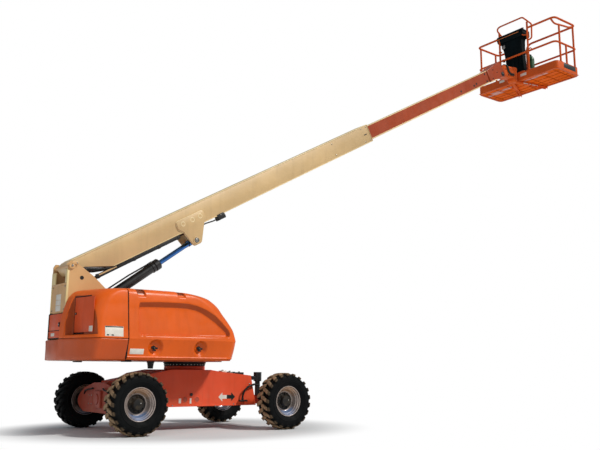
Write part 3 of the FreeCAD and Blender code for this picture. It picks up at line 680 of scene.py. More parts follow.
def make_finishes(colours):
    """Every finish, from the chosen colours."""
    tone = {key: srgb(*[part * 255 for part in getattr(colours, key)]) for key in paints}

    def add(kind, name, colour, **options):
        finishes[name] = kind(name, colour, **options)

    # the hood paint is darkened as painted shade on the walls round its recessed panel, in its hinge pockets and
    # in the tail cover's recess
    add(painted, "hood", tone["hood_orange"], rough=0.4, coat=0.1, dust=0.02, wear=0.04, peel=0.08,
        edge=0.003, shine=0.25, marked=(("shaded", 0.5), ("pocket", 0.3)))
    # a darker copy of the floor orange for the bars under the grating: painted shade
    add(painted, "floor_bar", scaled(tone["floor_orange_lit"], 0.42), rough=0.8, coat=0, dust=0, wear=0, shine=0.03)
    # a lighter copy of the platform orange for the arms: painted light
    add(painted, "arm", scaled(tone["cage_orange"], 1.2), rough=0.6, coat=0, dust=0.01, wear=0.03, shine=0.06)
    add(painted, "strip", srgb(216, 128, 74), rough=0.5, coat=0, dust=0, wear=0, edge=0.001, shine=0.1)
    add(painted, "counterweight", tone["cover_orange"], rough=0.4, coat=0.12, dust=0.03, wear=0.06, peel=0.2,
        edge=0.006, low=0.9, high=1.15, shine=0.3)
    add(painted, "door", tone["door_orange"], rough=0.5, coat=0.05, dust=0.02, wear=0.1, peel=0.1, edge=0.002,
        shine=0.25)
    add(painted, "chassis", tone["chassis_orange"], rough=0.5, coat=0.05, dust=0.05, wear=0.12, peel=0.2,
        edge=0.004, low=0.25, high=0.8, shine=0.3)
    add(painted, "axle", tone["axle_orange"], rough=0.55, coat=0.05, dust=0.1, wear=0.2, peel=0.3, edge=0.005,
        low=0.25, high=0.75, shine=0.3)
    add(painted, "boom", tone["boom_tan"], rough=0.4, coat=0.2, dust=0.04, wear=0.1, peel=0.12, edge=0.004)
    # pale tan for the base boom's edge beads: a painted highlight
    add(painted, "boom_edge", srgb(232, 208, 156), rough=0.4, coat=0.2, dust=0.03, wear=0.1, edge=0.003)
    add(painted, "mast", tone["mast_tan"], rough=0.42, coat=0.2, dust=0.05, wear=0.12, peel=0.12, edge=0.004)
    # pale tan for the mast's flanges: a painted highlight
    add(painted, "mast_edge", srgb(226, 204, 146), rough=0.42, coat=0.2, dust=0.03, wear=0.1, edge=0.003)
    add(painted, "fly", tone["fly_orange"], rough=0.4, coat=0.1, shine=0.3, dust=0.02, wear=0.08, peel=0.1,
        edge=0.003)
    add(painted, "cage", tone["cage_orange"], rough=0.46, coat=0.05, dust=0.01, wear=0.03, peel=0.08,
        edge=0.0015, shine=0.1)
    add(painted, "floor_mesh", tone["floor_orange_lit"], rough=0.7, coat=0.0, dust=0.01, wear=0, peel=0.1,
        edge=0.001, shine=0.08)
    add(rubber, "tyre", tone["tyre_black"], dusty=0.75, rough=0.7, attribute="tread_dust", shine=0.1)
    # painted reflections: blue where the rim faces up, tan where it faces down
    add(metal, "rim", tone["rim_grey"], rough=0.3, tint_up=srgb(104, 138, 186), tint_down=srgb(214, 170, 132),
        metallic=0.35, coat=0.3)
    add(painted, "black", tone["part_black"], rough=0.45, coat=0.15, dust=0.03, wear=0.12, peel=0.2,
        edge=0.003, low=0.2, high=0.7, shine=0.4)
    add(painted, "cast", tone["part_black"], rough=0.65, coat=0.0, dust=0.06, wear=0.12, peel=0.6, edge=0.004,
        low=0.2, high=0.9, shine=0.3)
    add(plastic, "console", tone["console_black"], rough=0.6, grain=0.15, dust=0.002, shine=0.06)
    add(plastic, "grip", scaled(tone["console_black"], 0.7), rough=0.55, grain=0.5, dust=0.02)
    add(plastic, "lamp_red", srgb(150, 24, 20), rough=0.3, grain=0.1)
    add(painted, "bottle_green", srgb(8, 84, 40), rough=0.4, coat=0.2, dust=0.02, wear=0.08)
    # painted reflection: the rod's blue colour and its tints stand for the sky and ground it mirrors
    add(metal, "rod", srgb(70, 120, 190), rough=0.14, brushed=0.1, tint_up=srgb(110, 165, 225),
        tint_down=srgb(30, 44, 74))
    add(metal, "steel", srgb(150, 148, 144), rough=0.35, brushed=0.15)
    add(rubber, "hose", tone["hose_black"], dusty=0.08, rough=0.6)
    add(rubber, "hose_grey", srgb(96, 88, 106), dusty=0.1, rough=0.6)
    add(rubber, "hose_green", srgb(12, 38, 30), dusty=0.06, rough=0.5)
    add(rubber, "seal", srgb(12, 14, 14), dusty=0.05, rough=0.7)
    add(label_film, "plate", tone["plate_cream"])
    add(label_film, "plate_band", srgb(36, 66, 58))
    add(label_film, "plate_dark", srgb(14, 32, 30))
    add(label_film, "plate_rose", srgb(214, 120, 96))
    # pale cream for the lugs' beads and plug welds: a painted highlight
    add(painted, "weld_bead", srgb(230, 208, 160), rough=0.45, coat=0.1, dust=0.02, wear=0, peel=0.4, edge=0.001)
    # pale cream for the fly's edge beads and nose flange: a painted highlight
    add(painted, "fly_edge", srgb(236, 206, 150), rough=0.4, coat=0.2, dust=0.01, wear=0, edge=0.002)
    add(painted, "barrel", tone["part_black"], rough=0.34, coat=0.15, dust=0.02, wear=0.08, peel=0.08,
        edge=0.003, low=0.1, high=0.2)


# ---------------------------------------------------------------- wheels
def wheel_place(corner):
    """The wheel's centre, with Z pointing out along its axle."""
    centre = joint_place("wheel_%s_spin" % corner)
    out = 1 if centre.y > 0 else -1
    return Matrix.Translation(centre) @ aligned(X, -out * Z, out * Y)


def ring_point(radius, degrees, out):
    """A point of a wheel, in the wheel's own frame."""
    angle = math.radians(degrees)
    return Vector((radius * math.cos(angle), radius * math.sin(angle), out))


def add_tyre(corner, sizes):
    """A ribbed carcass with two rows of lugs, and the dust where it meets the ground."""
    low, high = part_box("tyre_" + corner)
    crown_radius, half = (high.z - low.z) / 2, (high.y - low.y) / 2
    place = wheel_place(corner)
    base = crown_radius - 0.028
    # bead, sidewall with its two ribs, and shoulder, each with how far it lies inside the full width
    side = [(r, half - drop) for r, drop in (
        (0.205, 0.044), (0.213, 0.036), (0.232, 0.031), (0.244, 0.025), (0.262, 0.014), (0.282, 0.0075),
        (0.289, 0.006), (0.294, 0.0015), (0.299, 0.006), (0.318, 0.0045), (0.345, 0.006), (0.365, 0.011),
        (base - 0.009, 0.022), (base - 0.002, 0.04), (base, 0.09))] + [(base + 0.001, 0)]
    inside = [(base - 0.014, half - 0.09), (0.352, half - 0.028), (0.3, half - 0.018), (0.24, half - 0.036),
              (0.205, half - 0.062)]
    outline = side + [(r, -a) for r, a in reversed(side[:-1])]
    outline += [(r, -a) for r, a in reversed(inside)] + inside
    tyre = Shape()
    tyre.turned(outline, place, steps=96, closed=True)

    # each lug runs from past the middle of the tread, over the shoulder and down the side
    run = ((-0.014, 0.0, 0.0, 0.92), (0.03, 0.0, 1.4, 1.0), (0.07, 0.0, 3.6, 1.0), (0.108, 0.0015, 6.2, 1.0),
           (0.134, 0.009, 7.8, 1.0), (0.1475, 0.024, 8.7, 0.94), (0.1525, 0.042, 9.4, 0.8),
           (0.1515, 0.064, 10.2, 0.6))
    pitch = 360 / sizes.tread_lugs
    for row, sign in ((0, 1), (1, -1)):
        loops = []
        for out, drop, swing, width in run:
            radius = crown_radius - drop
            spread = math.degrees(sizes.lug_width * width / 2 / radius)
            inward = Vector((radius, out)) - Vector((0.29, 0.03))
            inward = inward.normalized() * (0.036 if drop < 0.03 else 0.022)
            foot_radius, foot_out = radius - inward.x, out - inward.y
            loops.append([ring_point(radius, swing - spread, out * sign),
                          ring_point(radius, swing + spread, out * sign),
                          ring_point(foot_radius, swing + spread * 1.25, foot_out * sign),
                          ring_point(foot_radius, swing - spread * 1.25, foot_out * sign)])
        lug = Shape().stack(loops).mesh
        bmesh.ops.rotate(lug, verts=lug.verts, cent=(0, 0, 0),
                         matrix=Matrix.Rotation(math.radians(pitch / 2 * row), 3, "Z"))
        raised = [e for e in lug.edges if all(v.co.xy.length > 0.342 for v in e.verts)]
        bevel(lug, [e for e in raised if e.calc_face_angle(0) > 0.6], 0.004, 2)
        bmesh.ops.spin(lug, geom=lug.faces[:] + lug.verts[:] + lug.edges[:], cent=(0, 0, 0), axis=(0, 0, 1),
                       angle=math.radians(360 - pitch), steps=sizes.tread_lugs - 1, use_merge=False,
                       use_duplicate=True)
        tyre.take(lug, place)
    piece = tyre.finish("tread_" + corner, "wheel_" + corner, "tyre", "tyre_rubber", ["tyre_" + corner],
                        sharp=40)
    dust = piece.data.attributes.new("tread_dust", "FLOAT", "POINT")
    back = place.inverted()
    values = []
    for vert in piece.data.vertices:
        point = back @ vert.co
        crown = rise_between(point.xy.length, crown_radius - 0.012, crown_radius - 0.003)
        shoulder = 0.4 * window(point.xy.length, 0.385, 0.42, 0.01) * rise_between(abs(point.z), half - 0.02,
                half - 0.006)
        # painted shade: the rear left tyre gets no dust so that it reads dark, as a tyre in shade
        values.append(max(crown, shoulder) * (0.0 if corner == "rear_left" else 1.0))
    dust.data.foreach_set("value", values)


def add_rim(corner, sizes):
    """A deep stepped rim with its hub, nuts and valve."""
    low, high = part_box("rim_" + corner)
    lip, radius = (high.y - low.y) / 2, (high.z - low.z) / 2
    place = wheel_place(corner)
    rim = Shape()
    # steps down from the outer lip, then the disc, then the inner side
    well = [(radius + r, lip + a) for r, a in (
        (0.002, -0.009), (0.003, -0.002), (-0.003, 0.0), (-0.01, -0.003), (-0.016, -0.014), (-0.021, -0.02),
        (-0.03, -0.024), (-0.036, -0.034), (-0.038, -0.048), (-0.048, -0.054), (-0.053, -0.064),
        (-0.055, -0.088))]
    well += [(r, lip - a) for r, a in ((0.16, 0.098), (0.152, 0.114), (0.14, 0.122), (0.126, 0.12),
            (0.116, 0.114), (0.08, 0.112))]
    back = [(0.08, -0.006), (0.15, -0.01), (0.168, -0.024), (0.176, -lip + 0.03),
            (radius - 0.016, -lip + 0.012), (radius - 0.003, -lip), (radius + 0.003, -lip + 0.002),
            (radius + 0.002, -lip + 0.009), (radius - 0.012, -lip + 0.014), (radius - 0.018, -lip + 0.034),
            (radius - 0.03, -lip + 0.05), (radius - 0.03, lip - 0.05), (radius - 0.018, lip - 0.034),
            (radius - 0.012, lip - 0.014)]
    rim.turned(well + back, place, steps=80, closed=True)
    disc = lip - 0.113
    hub = [(0.0, -0.036), (0.086, -0.036), (0.086, -0.012), (0.126, -0.012), (0.128, disc + 0.004),
           (0.12, disc + 0.01), (0.082, disc + 0.012), (0.078, disc + 0.03), (0.076, 0.064), (0.07, 0.072),
           (0.04, 0.076), (0.0, 0.077)]
    rim.turned(hub, place, steps=48, finish=1)
    bolt_circle = 0.101
    for i in range(sizes.wheel_nuts):
        turn = place @ Matrix.Rotation(math.tau * (i + 0.25) / sizes.wheel_nuts, 4, "Z")
        # washer, nut and the end of the stud
        for foot, top, size, edge, sides in ((0.0, 0.016, 0.0135, 0.001, 20),
                (0.014, 0.03, 0.0115, 0.0015, 6), (0.028, 0.038, 0.006, 0.001, 12)):
            rim.bar((bolt_circle, 0, disc + foot), (bolt_circle, 0, disc + top), size, 1, edge, sides,
                    place=turn)
    rim.bar((0.03, 0.012, 0.074), (0.03, 0.012, 0.08), 0.008, 2, 0.001, 6, place=place)
    valve = place @ Matrix.Rotation(2.3, 4, "Z")
    rim.bar((radius - 0.052, 0, lip - 0.075), (radius - 0.066, 0, lip - 0.045), 0.004, 2, 0.001, 10, place=valve)
    rim.finish("wheel_disc_" + corner, "wheel_" + corner, ["rim", "cast", "steel"], "rim_paint",
               ["rim_" + corner], sharp=45)


# ---------------------------------------------------------------- covers
side_low, side_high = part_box("hood_right")
hood_floor = side_low.z
half_width = -side_low.y
nose = side_high.x
split = side_low.x
channel = -side_high.y
belt_z = hood_floor + 0.275      # where the sides are widest
tail_front = split - 0.014       # the tail's front edge, behind the seam
tail = math.hypot(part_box("counterweight")[0].x, channel - 0.06)
tail_back = -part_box("tail_centre")[0].x - 0.01

# rise above the hood's lower edge, how far the side leans in, how far the nose sits back, corner radius
hood_levels = (
    (0.0, 0.066, 0.01, 0.19), (0.018, 0.062, 0.006, 0.18), (0.026, 0.05, 0.002, 0.17),
    (0.034, 0.049, 0.0, 0.17), (0.044, 0.055, 0.0, 0.16), (0.15, 0.032, -0.004, 0.13),
    (0.262, 0.0035, -0.006, 0.12), (0.275, 0.0, -0.008, 0.12), (0.286, 0.002, -0.008, 0.12),
    (0.33, 0.008, -0.004, 0.13), (0.44, 0.023, 0.012, 0.17), (0.56, 0.041, 0.07, 0.22),
    (0.67, 0.057, 0.14, 0.26), (0.76, 0.067, 0.2, 0.28), (0.82, 0.075, 0.255, 0.31),
    (0.88, 0.086, 0.335, 0.34), (0.912, 0.1, 0.415, 0.37), (0.934, 0.12, 0.51, 0.38),
    (0.948, 0.148, 0.6, 0.38), (0.957, 0.19, 0.69, 0.38), (0.962, 0.25, 0.78, 0.34),
    (0.966, 0.42, 0.93, 0.22), (0.967, 0.56, 1.06, 0.1), (0.967, 0.69, 1.2, 0.02))
panel_edge = [(-1.262, 1.322), (-1.262, 1.769), (-1.187, 1.776), (-0.937, 1.793), (-0.651, 1.797),
              (-0.504, 1.795), (-0.356, 1.771), (-0.207, 1.722), (-0.057, 1.642), (0.061, 1.533),
              (0.15, 1.443), (0.176, 1.392), (0.166, 1.345), (0.13, 1.33)]
panel_field = [(-1.246, 1.338), (-1.246, 1.7), (-1.1, 1.71), (-0.653, 1.72), (-0.507, 1.718), (-0.359, 1.697),
               (-0.266, 1.664), (-0.16, 1.606), (-0.052, 1.535), (0.042, 1.462), (0.112, 1.4), (0.132, 1.368),
               (0.118, 1.346)]
dishes = ((-1.005, 1.157, 0.112), (-0.308, 1.163, 0.104))
hinge_pockets = ((-1.278, -1.15, 1.868), (-0.66, -0.54, 1.89))      # back, front and foot of each


def round_corners(outline, radius):
    return [(p.x, p.y) for p in bent([(x, y, 0) for x, y in outline], radius, 5, closed=True)]


panel_edge, panel_field = round_corners(panel_edge, 0.05), round_corners(panel_field, 0.035)


def hood_outline(level, mirror):
    """One level line of a hood, from the split round the nose to the boom's channel."""
    rise, lean, setback, radius = level
    out, front = half_width - lean, nose - setback
    radius = min(radius, out - channel, front - split)
    corners = [Vector((split, out, 0)), Vector((front - radius, out, 0))]
    for k in range(1, 16):
        a = math.pi / 2 * k / 16
        corners.append(Vector((front - radius + radius * math.sin(a), out - radius + radius * math.cos(a), 0)))
    corners += [Vector((front, out - radius, 0)), Vector((front, channel, 0))]
    path = [p for i, p in enumerate(corners) if i == 0 or (p - corners[i - 1]).length > 1e-6]
    for point in path:
        point.y *= mirror
        point.z = hood_floor + rise
    return path


def hood_dents(sizes, mirror):
    """How deep a hood is pressed in at each point: side panel, latch dishes and hinge pockets."""
    def depth(point):
        x, out, z = point.x, point.y * mirror, point.z
        total = 0.0
        if out > 0.7 and 1.3 < z < 1.82:
            outer = outline_distance(x, z, panel_edge)
            if outer > 0:
                inner = outline_distance(x, z, panel_field)
                share = 1.0 if inner >= 0 else outer / (outer - inner)
                total += sizes.panel_depth * share
        if out > 0.7 and z < 1.28:
            for cx, cz, radius in dishes:
                reach = math.hypot(x - cx, z - cz) / radius
                if reach < 1:
                    total += sizes.dish_depth * min(1.0, 1.7 * (1 - reach ** 2)) ** 0.8
        if out > 0.6 and z > 1.85:
            for x0, x1, z0 in hinge_pockets:
                lean = (z - z0) * 0.25
                total += 0.024 * window(x + lean, x0, x1, 0.014) * rise_between(z, z0 - 0.032, z0 + 0.008) * \
                    rise_between(out, 0.8, 0.82)
        return total
    return depth


def add_hood(side, sizes):
    """One moulded hood with its latches and a pale plate on its lower band."""
    mirror = 1 if side == "left" else -1
    rows = [resampled(hood_outline(level, mirror), 250) for level in along_levels(hood_levels, 130)]
    hood = shell(rows, hood_dents(sizes, mirror))
    piece = hood.finish("cover_hood_" + side, "hood_" + side, "hood", "orange_hood", ["hood_" + side], 60,
                        sizes.hood_wall)
    # painted shade: one attribute darkens the sloping walls round the recessed side panel, the other darkens the
    # hinge pockets
    shaded, pocket = [], []
    for vert in piece.data.vertices:
        x, out, z = vert.co.x, vert.co.y * mirror, vert.co.z
        edge = -0.03
        if out > 0.7 and z > 1.34:
            edge = min(outline_distance(x, z, panel_edge) - 0.006,
                       -0.003 - outline_distance(x, z, panel_field), x + 1.246)
        shaded.append(0.5 + edge / 0.06)
        deep = -0.03
        if out > 0.78 and z > 1.85:
            lean = (z - 1.87) * 0.25
            deep = max(min(x + lean - x0 - 0.004, x1 - 0.004 - x - lean, z - z0 - 0.012, 0.945 - out)
                       for x0, x1, z0 in hinge_pockets)
        pocket.append(0.5 + deep / 0.06)
    for name, values in (("shaded", shaded), ("pocket", pocket)):
        mark = piece.data.attributes.new(name, "FLOAT", "POINT")
        mark.data.foreach_set("value", [min(1.0, max(0.0, value)) for value in values])

    # latches in their dishes, and a pale plate on the lower band
    fittings = Shape()
    for cx, cz, _ in dishes:
        out = (half_width - (belt_z - cz) * 0.2 - sizes.dish_depth) * mirror
        facing = Vector((0, mirror, -0.2)).normalized()
        seat = Vector((cx - 0.012, out, cz + 0.008))
        fittings.bar(seat - facing * 0.006, seat + facing * 0.008, 0.026, 0, 0.002)
        fittings.bar(seat + facing * 0.004, seat + facing * 0.022, 0.014, 0, 0.002)
        sideways = facing.cross(Vector((1, 0, -0.16))).normalized()
        turn = aligned(facing.cross(sideways) * -1, sideways, facing)
        place = Matrix.Translation(seat + facing * 0.026) @ turn
        fittings.block((-0.05, -0.013, -0.008), (0.05, 0.013, 0.008), 0.006, place)
        fittings.block((-0.02, -0.042, -0.007), (0.034, -0.018, 0.005), 0.005, place)
        fittings.block((-0.008, -0.03, -0.006), (0.012, 0.004, 0.004), 0.003, place)
        fittings.bolt(seat + facing * 0.032, facing, 0.006, 1)
    low_z, high_z = 1.07, 1.144
    foot = hood_floor + 0.15
    out = half_width - 0.032 + (low_z + high_z - 2 * foot) / 2 * 0.25
    tilt = Matrix.Translation((0, out * mirror, (low_z + high_z) / 2)) @ Matrix.Rotation(-0.25 * mirror, 4, "X")
    fittings.block((-1.372, -0.0035, (low_z - high_z) / 2), (-1.172, 0.0035, (high_z - low_z) / 2), 0.001,
                   tilt, 2)
    fittings.finish("hood_latches_" + side, "hood_" + side, ["cast", "steel", "plate"], "cast_black")


def tail_outline(level, mirror, radius_now, inner):
    """One level line of the tail, from the split round the corner to the boom's channel."""
    rise, lean, setback, corner = level
    out, reach = half_width - lean, radius_now - setback
    corner = min(corner, out - 0.05)
    cy = out - corner
    cx = -math.sqrt(max(1e-4, (reach - corner) ** 2 - cy ** 2))
    path = [Vector((0.3, out, 0)), Vector((cx, out, 0))]
    turn = math.atan2(cy, -cx)
    for k in range(1, 15):
        a = math.pi / 2 + (turn - math.pi / 2) * k / 14
        path.append(Vector((cx - corner * math.cos(a), cy + corner * math.sin(a), 0)))
    last = math.asin(min(0.99, inner / reach))
    for k in range(1, 41):
        a = turn + (last - turn) * k / 40
        path.append(Vector((-reach * math.cos(a), reach * math.sin(a), 0)))
    kept = []
    for a, b in zip(path, path[1:]):
        if a.x <= tail_front:
            kept.append(a)
        elif b.x < tail_front:
            kept.append(a.lerp(b, (a.x - tail_front) / (a.x - b.x)))
    kept.append(path[-1])
    for point in kept:
        point.y *= mirror
        point.z = rise
    return kept


# rise above the counterweight, lean of the side, how far the back leans in, corner radius
cover_levels = (
    (0.0, 0.0, 0.004, 0.1), (0.02, 0.002, 0.004, 0.1), (0.1, 0.016, 0.006, 0.11), (0.2, 0.03, 0.01, 0.13),
    (0.333, 0.048, 0.034, 0.16), (0.45, 0.066, 0.064, 0.2), (0.52, 0.074, 0.09, 0.23),
    (0.577, 0.082, 0.122, 0.26), (0.639, 0.096, 0.19, 0.3), (0.664, 0.12, 0.275, 0.32),
    (0.678, 0.16, 0.37, 0.33), (0.685, 0.205, 0.45, 0.33), (0.688, 0.25, 0.52, 0.3))


def door_plane():
    """Inner and outer upright edges of the controls door, its slope in plan, its lower and its upper edge."""
    low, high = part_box("controls_door")
    corner, away = Vector((low.x + 0.052, high.y, 0)), Vector((high.x + 0.014, low.y, 0))
    return corner, away, (away.x - corner.x) / (corner.y - away.y), low.z, high.z


def add_cover(side, sizes):
    """One moulded tail cover, the right one with the recess for the ground controls."""
    mirror = 1 if side == "left" else -1
    low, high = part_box("rear_cover_" + side)
    inner = low.y if mirror > 0 else -high.y
    radius_now = math.hypot(low.x, inner) if side == "left" else tail
    base = low.z
    columns = 190 if side == "right" else 110
    rows = []
    for level in along_levels(cover_levels, 96 if side == "right" else 60):
        line = resampled(tail_outline(level, mirror, radius_now, inner), columns)
        for point in line:
            point.z += base
        rows.append(line)
    hub = Vector((tail_front, inner * mirror, rows[-1][0].z + 0.003))
    top = rows[-1]
    for k in range(1, 9):
        rows.append([p.lerp(hub, k / 8) for p in top])

    cover = shell(rows, lambda point: 0.0)
    cover.mesh.verts.index_update()
    recess_shade = [0.0] * len(cover.mesh.verts)
    if side == "right":
        # the flat-backed recess for the ground controls, with a fin left beside the mast; its pushed-in skin is
        # darkened as painted shade
        corner, _, lean, floor, ceiling = door_plane()
        for vert in cover.mesh.verts:
            x, y, z = vert.co
            back = corner.x + 0.008 + (corner.y - y) * lean
            share = (1 - rise_between(y, corner.y + 0.012, corner.y + 0.034)) * \
                rise_between(z, floor - 0.034, floor - 0.018) * \
                (1 - rise_between(z, ceiling + 0.018, ceiling + 0.05))
            if back > x and y < 0 and share > 0:
                vert.co.x = x + (back - x) * share
                recess_shade[vert.index] = min(1.0, (back - x) * share / 0.02)
        bmesh.ops.recalc_face_normals(cover.mesh, faces=cover.mesh.faces)
    piece = cover.finish("cover_tail_" + side, "turntable", "hood", "orange_hood", ["rear_cover_" + side], 50,
                         sizes.hood_wall)
    # painted shade: the recess is darkened through the hood paint's shaded attribute
    mark = piece.data.attributes.new("shaded", "FLOAT", "POINT")
    mark.data.foreach_set("value", recess_shade)


def add_counterweight():
    """Two cast lobes with a rounded lip along the top and a lower band that leans in."""
    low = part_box("counterweight")[0]
    lobes = Shape()
    # height, lean of the side, lean of the back, corner radius
    levels = ((0.0, 0.09, 0.03, 0.1), (0.006, 0.078, 0.018, 0.1), (0.022, 0.07, 0.012, 0.1),
              (0.06, 0.058, 0.01, 0.1), (0.24, 0.01, 0.003, 0.1), (0.262, 0.003, 0.0, 0.1),
              (0.276, 0.002, 0.0, 0.1), (0.284, 0.008, 0.006, 0.1), (0.287, 0.02, 0.018, 0.1))
    for mirror, radius in ((-1, tail), (1, tail_back)):
        inner = 0.3005
        loops = []
        for level in levels:
            line = resampled(tail_outline((level[0] + low.z, *level[1:]), mirror, radius, inner), 72)
            front, back = line[0], line[-1]
            corner = Vector((tail_front, inner * mirror, front.z))
            inward = [back.lerp(corner, k / 12) for k in range(1, 12)]
            loops.append(line + inward + [corner.lerp(front, k / 12) for k in range(12)])
        lobes.stack(loops)
    lobes.finish("counterweight_lobes", "turntable", "counterweight", "orange_gloss", ["counterweight"], 42)


# ---------------------------------------------------------------- turntable and mast
def add_mast_trim():
    """Pivot pin ends, sight rings, folded flanges and blank plates on the mast."""
    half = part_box("mast_cheeks")[1].y
    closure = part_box("mast_ties")[0].x
    trim = Shape()
    for out in (-1, 1):
        pin = Vector((boom_pivot.x, out * (half + 0.02), boom_pivot.z))
        trim.bar(pin - Y * out * 0.02, pin + Y * out * 0.006, 0.044 if out < 0 else 0.02, 0, 0.003, 36)
        trim.block((pin.x - 0.012, min(pin.y, pin.y + out * 0.012), pin.z + 0.02),
                   (pin.x + 0.085, max(pin.y, pin.y + out * 0.012), pin.z + 0.062), 0.004)
        trim.bolt(pin + Vector((0.066, out * 0.01, 0.041)), Y * out, 0.01, 1)
        trim.bolt(pin + Y * out * 0.008, Y * out, 0.014, 1)
        hole = Vector((-1.817, out * half, 2.119))
        ring = outward(hole, out)
        trim.turned([(0.0, 0.0015), (0.02, 0.0015), (0.02, 0.004), (0.026, 0.004), (0.028, 0.0)], ring, 32, 3)
        # folded flange up each side of the rear opening, pale as a painted highlight
        inside, top = (half - 0.075, 2.236) if out < 0 else (0.165, 2.212)
        trim.beside(out, (closure - 0.004, inside, 2.03), (closure + 0.014, half - 0.004, top), 0.004, 4)
        trim.beside(out, (closure - 0.007, half - 0.02, 1.64), (closure + 0.024, half + 0.002, 2.215), 0.005, 4)
        trim.beside(out, (closure - 0.012, 0.265, 1.3), (closure + 0.02, 0.288, 1.64), 0.003, 3)
        for z in (1.675, 1.995):
            trim.bolt((closure - 0.003, out * 0.235, z), -X, 0.009, 1)
    trim.block((closure - 0.007, -half + 0.02, 2.016), (closure + 0.012, half - 0.02, 2.042), 0.004)
    for z0, z1 in ((1.816, 1.894), (1.744, 1.81), (1.66, 1.738)):
        trim.block((closure - 0.0035, -0.1, z0), (closure + 0.004, 0.09, z1), 0.001, finish=2)
    trim.finish("mast_trim", "turntable", ["mast", "steel", "plate", "black", "mast_edge"], "tan")


def add_tail_centre():
    """The closure between the lobes and the blanking panel below the mast, with its seam and latch."""
    low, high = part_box("tail_centre")
    parts = Shape()
    face = -2.034
    half = high.y
    parts.block((low.x, -half, low.z), (low.x + 0.038, half, 1.262), 0.01)
    parts.block((face - 0.004, -half + 0.03, 1.29), (face + 0.01, half - 0.03, 1.386), 0.004, finish=1)
    parts.block((face - 0.004, -half + 0.03, 1.396), (face + 0.01, half - 0.03, 1.618), 0.004, finish=1)
    parts.block((face + 0.001, -half, 1.276), (face + 0.011, half, 1.628), 0.002, finish=2)
    for out in (-1, 1):
        parts.beside(out, (face - 0.012, half - 0.034, 1.276), (face + 0.004, half - 0.012, 1.628), 0.003, 2)
    parts.block((face - 0.02, -0.175, 1.44), (face - 0.002, -0.135, 1.5), 0.005, finish=2)
    parts.bar((face - 0.024, -0.155, 1.47), (face - 0.012, -0.155, 1.47), 0.012, 3)
    parts.block((face - 0.006, 0.03, 1.315), (face, 0.17, 1.36), 0.001, finish=4)
    parts.finish("tail_panel", "turntable", ["counterweight", "door", "seal", "steel", "plate"],
                 "orange_gloss", ["tail_centre"])


def add_body_fittings():
    """Seal in the split, tailpipe, feet and the blank plates on the right side."""
    fit = Shape()
    for mirror in (-1, 1):
        section = [Vector((split - 0.007, (half_width - lean - 0.012) * mirror,
                           hood_floor + rise - (0.012 if rise > 0.9 else 0)))
                   for rise, lean, _, _ in hood_levels[8:21]]
        section = [Vector((split - 0.007, (half_width - 0.06) * mirror, hood_floor + 0.02))] + section
        section += [Vector((split - 0.007, 0.4 * mirror, hood_floor + 0.953))]
        fit.hose(section, 0.08, 0.011, 0, 8, steps=4)
    stub_low, stub_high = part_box("exhaust_stub")
    pipe = (stub_low + stub_high) / 2
    funnel = [(0.053, stub_high.z), (0.053, stub_high.z - 0.02), (0.046, stub_high.z - 0.024),
              (0.036, stub_low.z - 0.004), (0.037, stub_low.z - 0.01), (0.033, stub_low.z - 0.01),
              (0.031, stub_low.z), (0.038, stub_high.z - 0.03), (0.038, stub_high.z)]
    fit.turned(funnel, Matrix.Translation((pipe.x, pipe.y, 0)), 40, 1, closed=True)
    floor_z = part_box("counterweight")[0].z
    for y in (-0.88, 0.88):
        fit.block((-1.37 - 0.05, y - 0.045, floor_z - 0.016), (-1.37 + 0.07, y + 0.045, floor_z + 0.004),
                  0.005, finish=1)
    fit.finish("body_fittings", "turntable", ["seal", "cast"], "black_plastic", ["exhaust_stub"])

    # blank plates, set against the slope of the side
    plates = Shape()
    slope = math.atan(0.145)
    for x0, x1, z0, z1, finish, proud in ((-1.744, -1.488, 1.295, 1.43, 0, 0.0015),
            (-1.741, -1.491, 1.412, 1.428, 1, 0.0022), (-1.72, -1.69, 1.303, 1.322, 2, 0.0022),
            (-1.655, -1.625, 1.303, 1.322, 2, 0.0022)):
        mid = (z0 + z1) / 2
        out = half_width - (mid - belt_z) * math.tan(slope)
        place = Matrix.Translation((0, -out - proud * 0.2, mid)) @ Matrix.Rotation(-slope, 4, "X")
        plates.block((x0, -proud, z0 - mid), (x1, proud, z1 - mid), 0.0007, place, finish)
    plates.finish("blank_plates_side", "turntable", ["plate", "plate_band", "plate_dark"], "black_plastic")


def add_door_trim():
    """Face, keyed catch, blank plate and seal of the ground controls door, and dark strips above and below it
    that are painted shade.
    """
    corner, away, lean, floor, ceiling = door_plane()
    face = Matrix.Translation(corner) @ Matrix.Rotation(math.atan(lean), 4, "Z")
    wide = (away - corner).length
    door = Shape()
    door.block((-0.004, -wide + 0.004, floor + 0.006), (0.005, -0.006, ceiling - 0.006), 0.003, face)
    door.block((0.003, -wide + 0.03, floor + 0.03), (0.016, -0.03, ceiling - 0.03), 0.004, face)
    door.bar(face @ Vector((-0.004, -0.038, 1.602)), face @ Vector((-0.012, -0.038, 1.602)), 0.017, 1)
    door.bar(face @ Vector((-0.01, -0.038, 1.602)), face @ Vector((-0.016, -0.038, 1.602)), 0.009, 2)
    door.block((-0.0055, -wide + 0.012, floor + 0.012), (-0.0035, -wide + 0.098, floor + 0.086), 0.0007, face, 3)
    door.finish("controls_door_face", "controls_door", ["door", "cast", "steel", "plate"], "orange_gloss",
                ["controls_door"])
    # a dark seam at the door's inner edge, and dark strips above and below the door that are painted shade: the
    # shadow under the recess's brow and along its floor
    rim = Shape()
    for a, b, z0, z1 in ((-wide * 0.8, 0.01, ceiling - 0.001, ceiling + 0.012),
                         (-wide * 0.5, 0.01, floor - 0.014, floor + 0.001), (-0.005, 0.008, floor, ceiling)):
        rim.block((-0.001, a, z0), (0.01, b, z1), 0.003, face, 0)
    rim.finish("controls_door_seal", "turntable", "seal", "black_plastic")


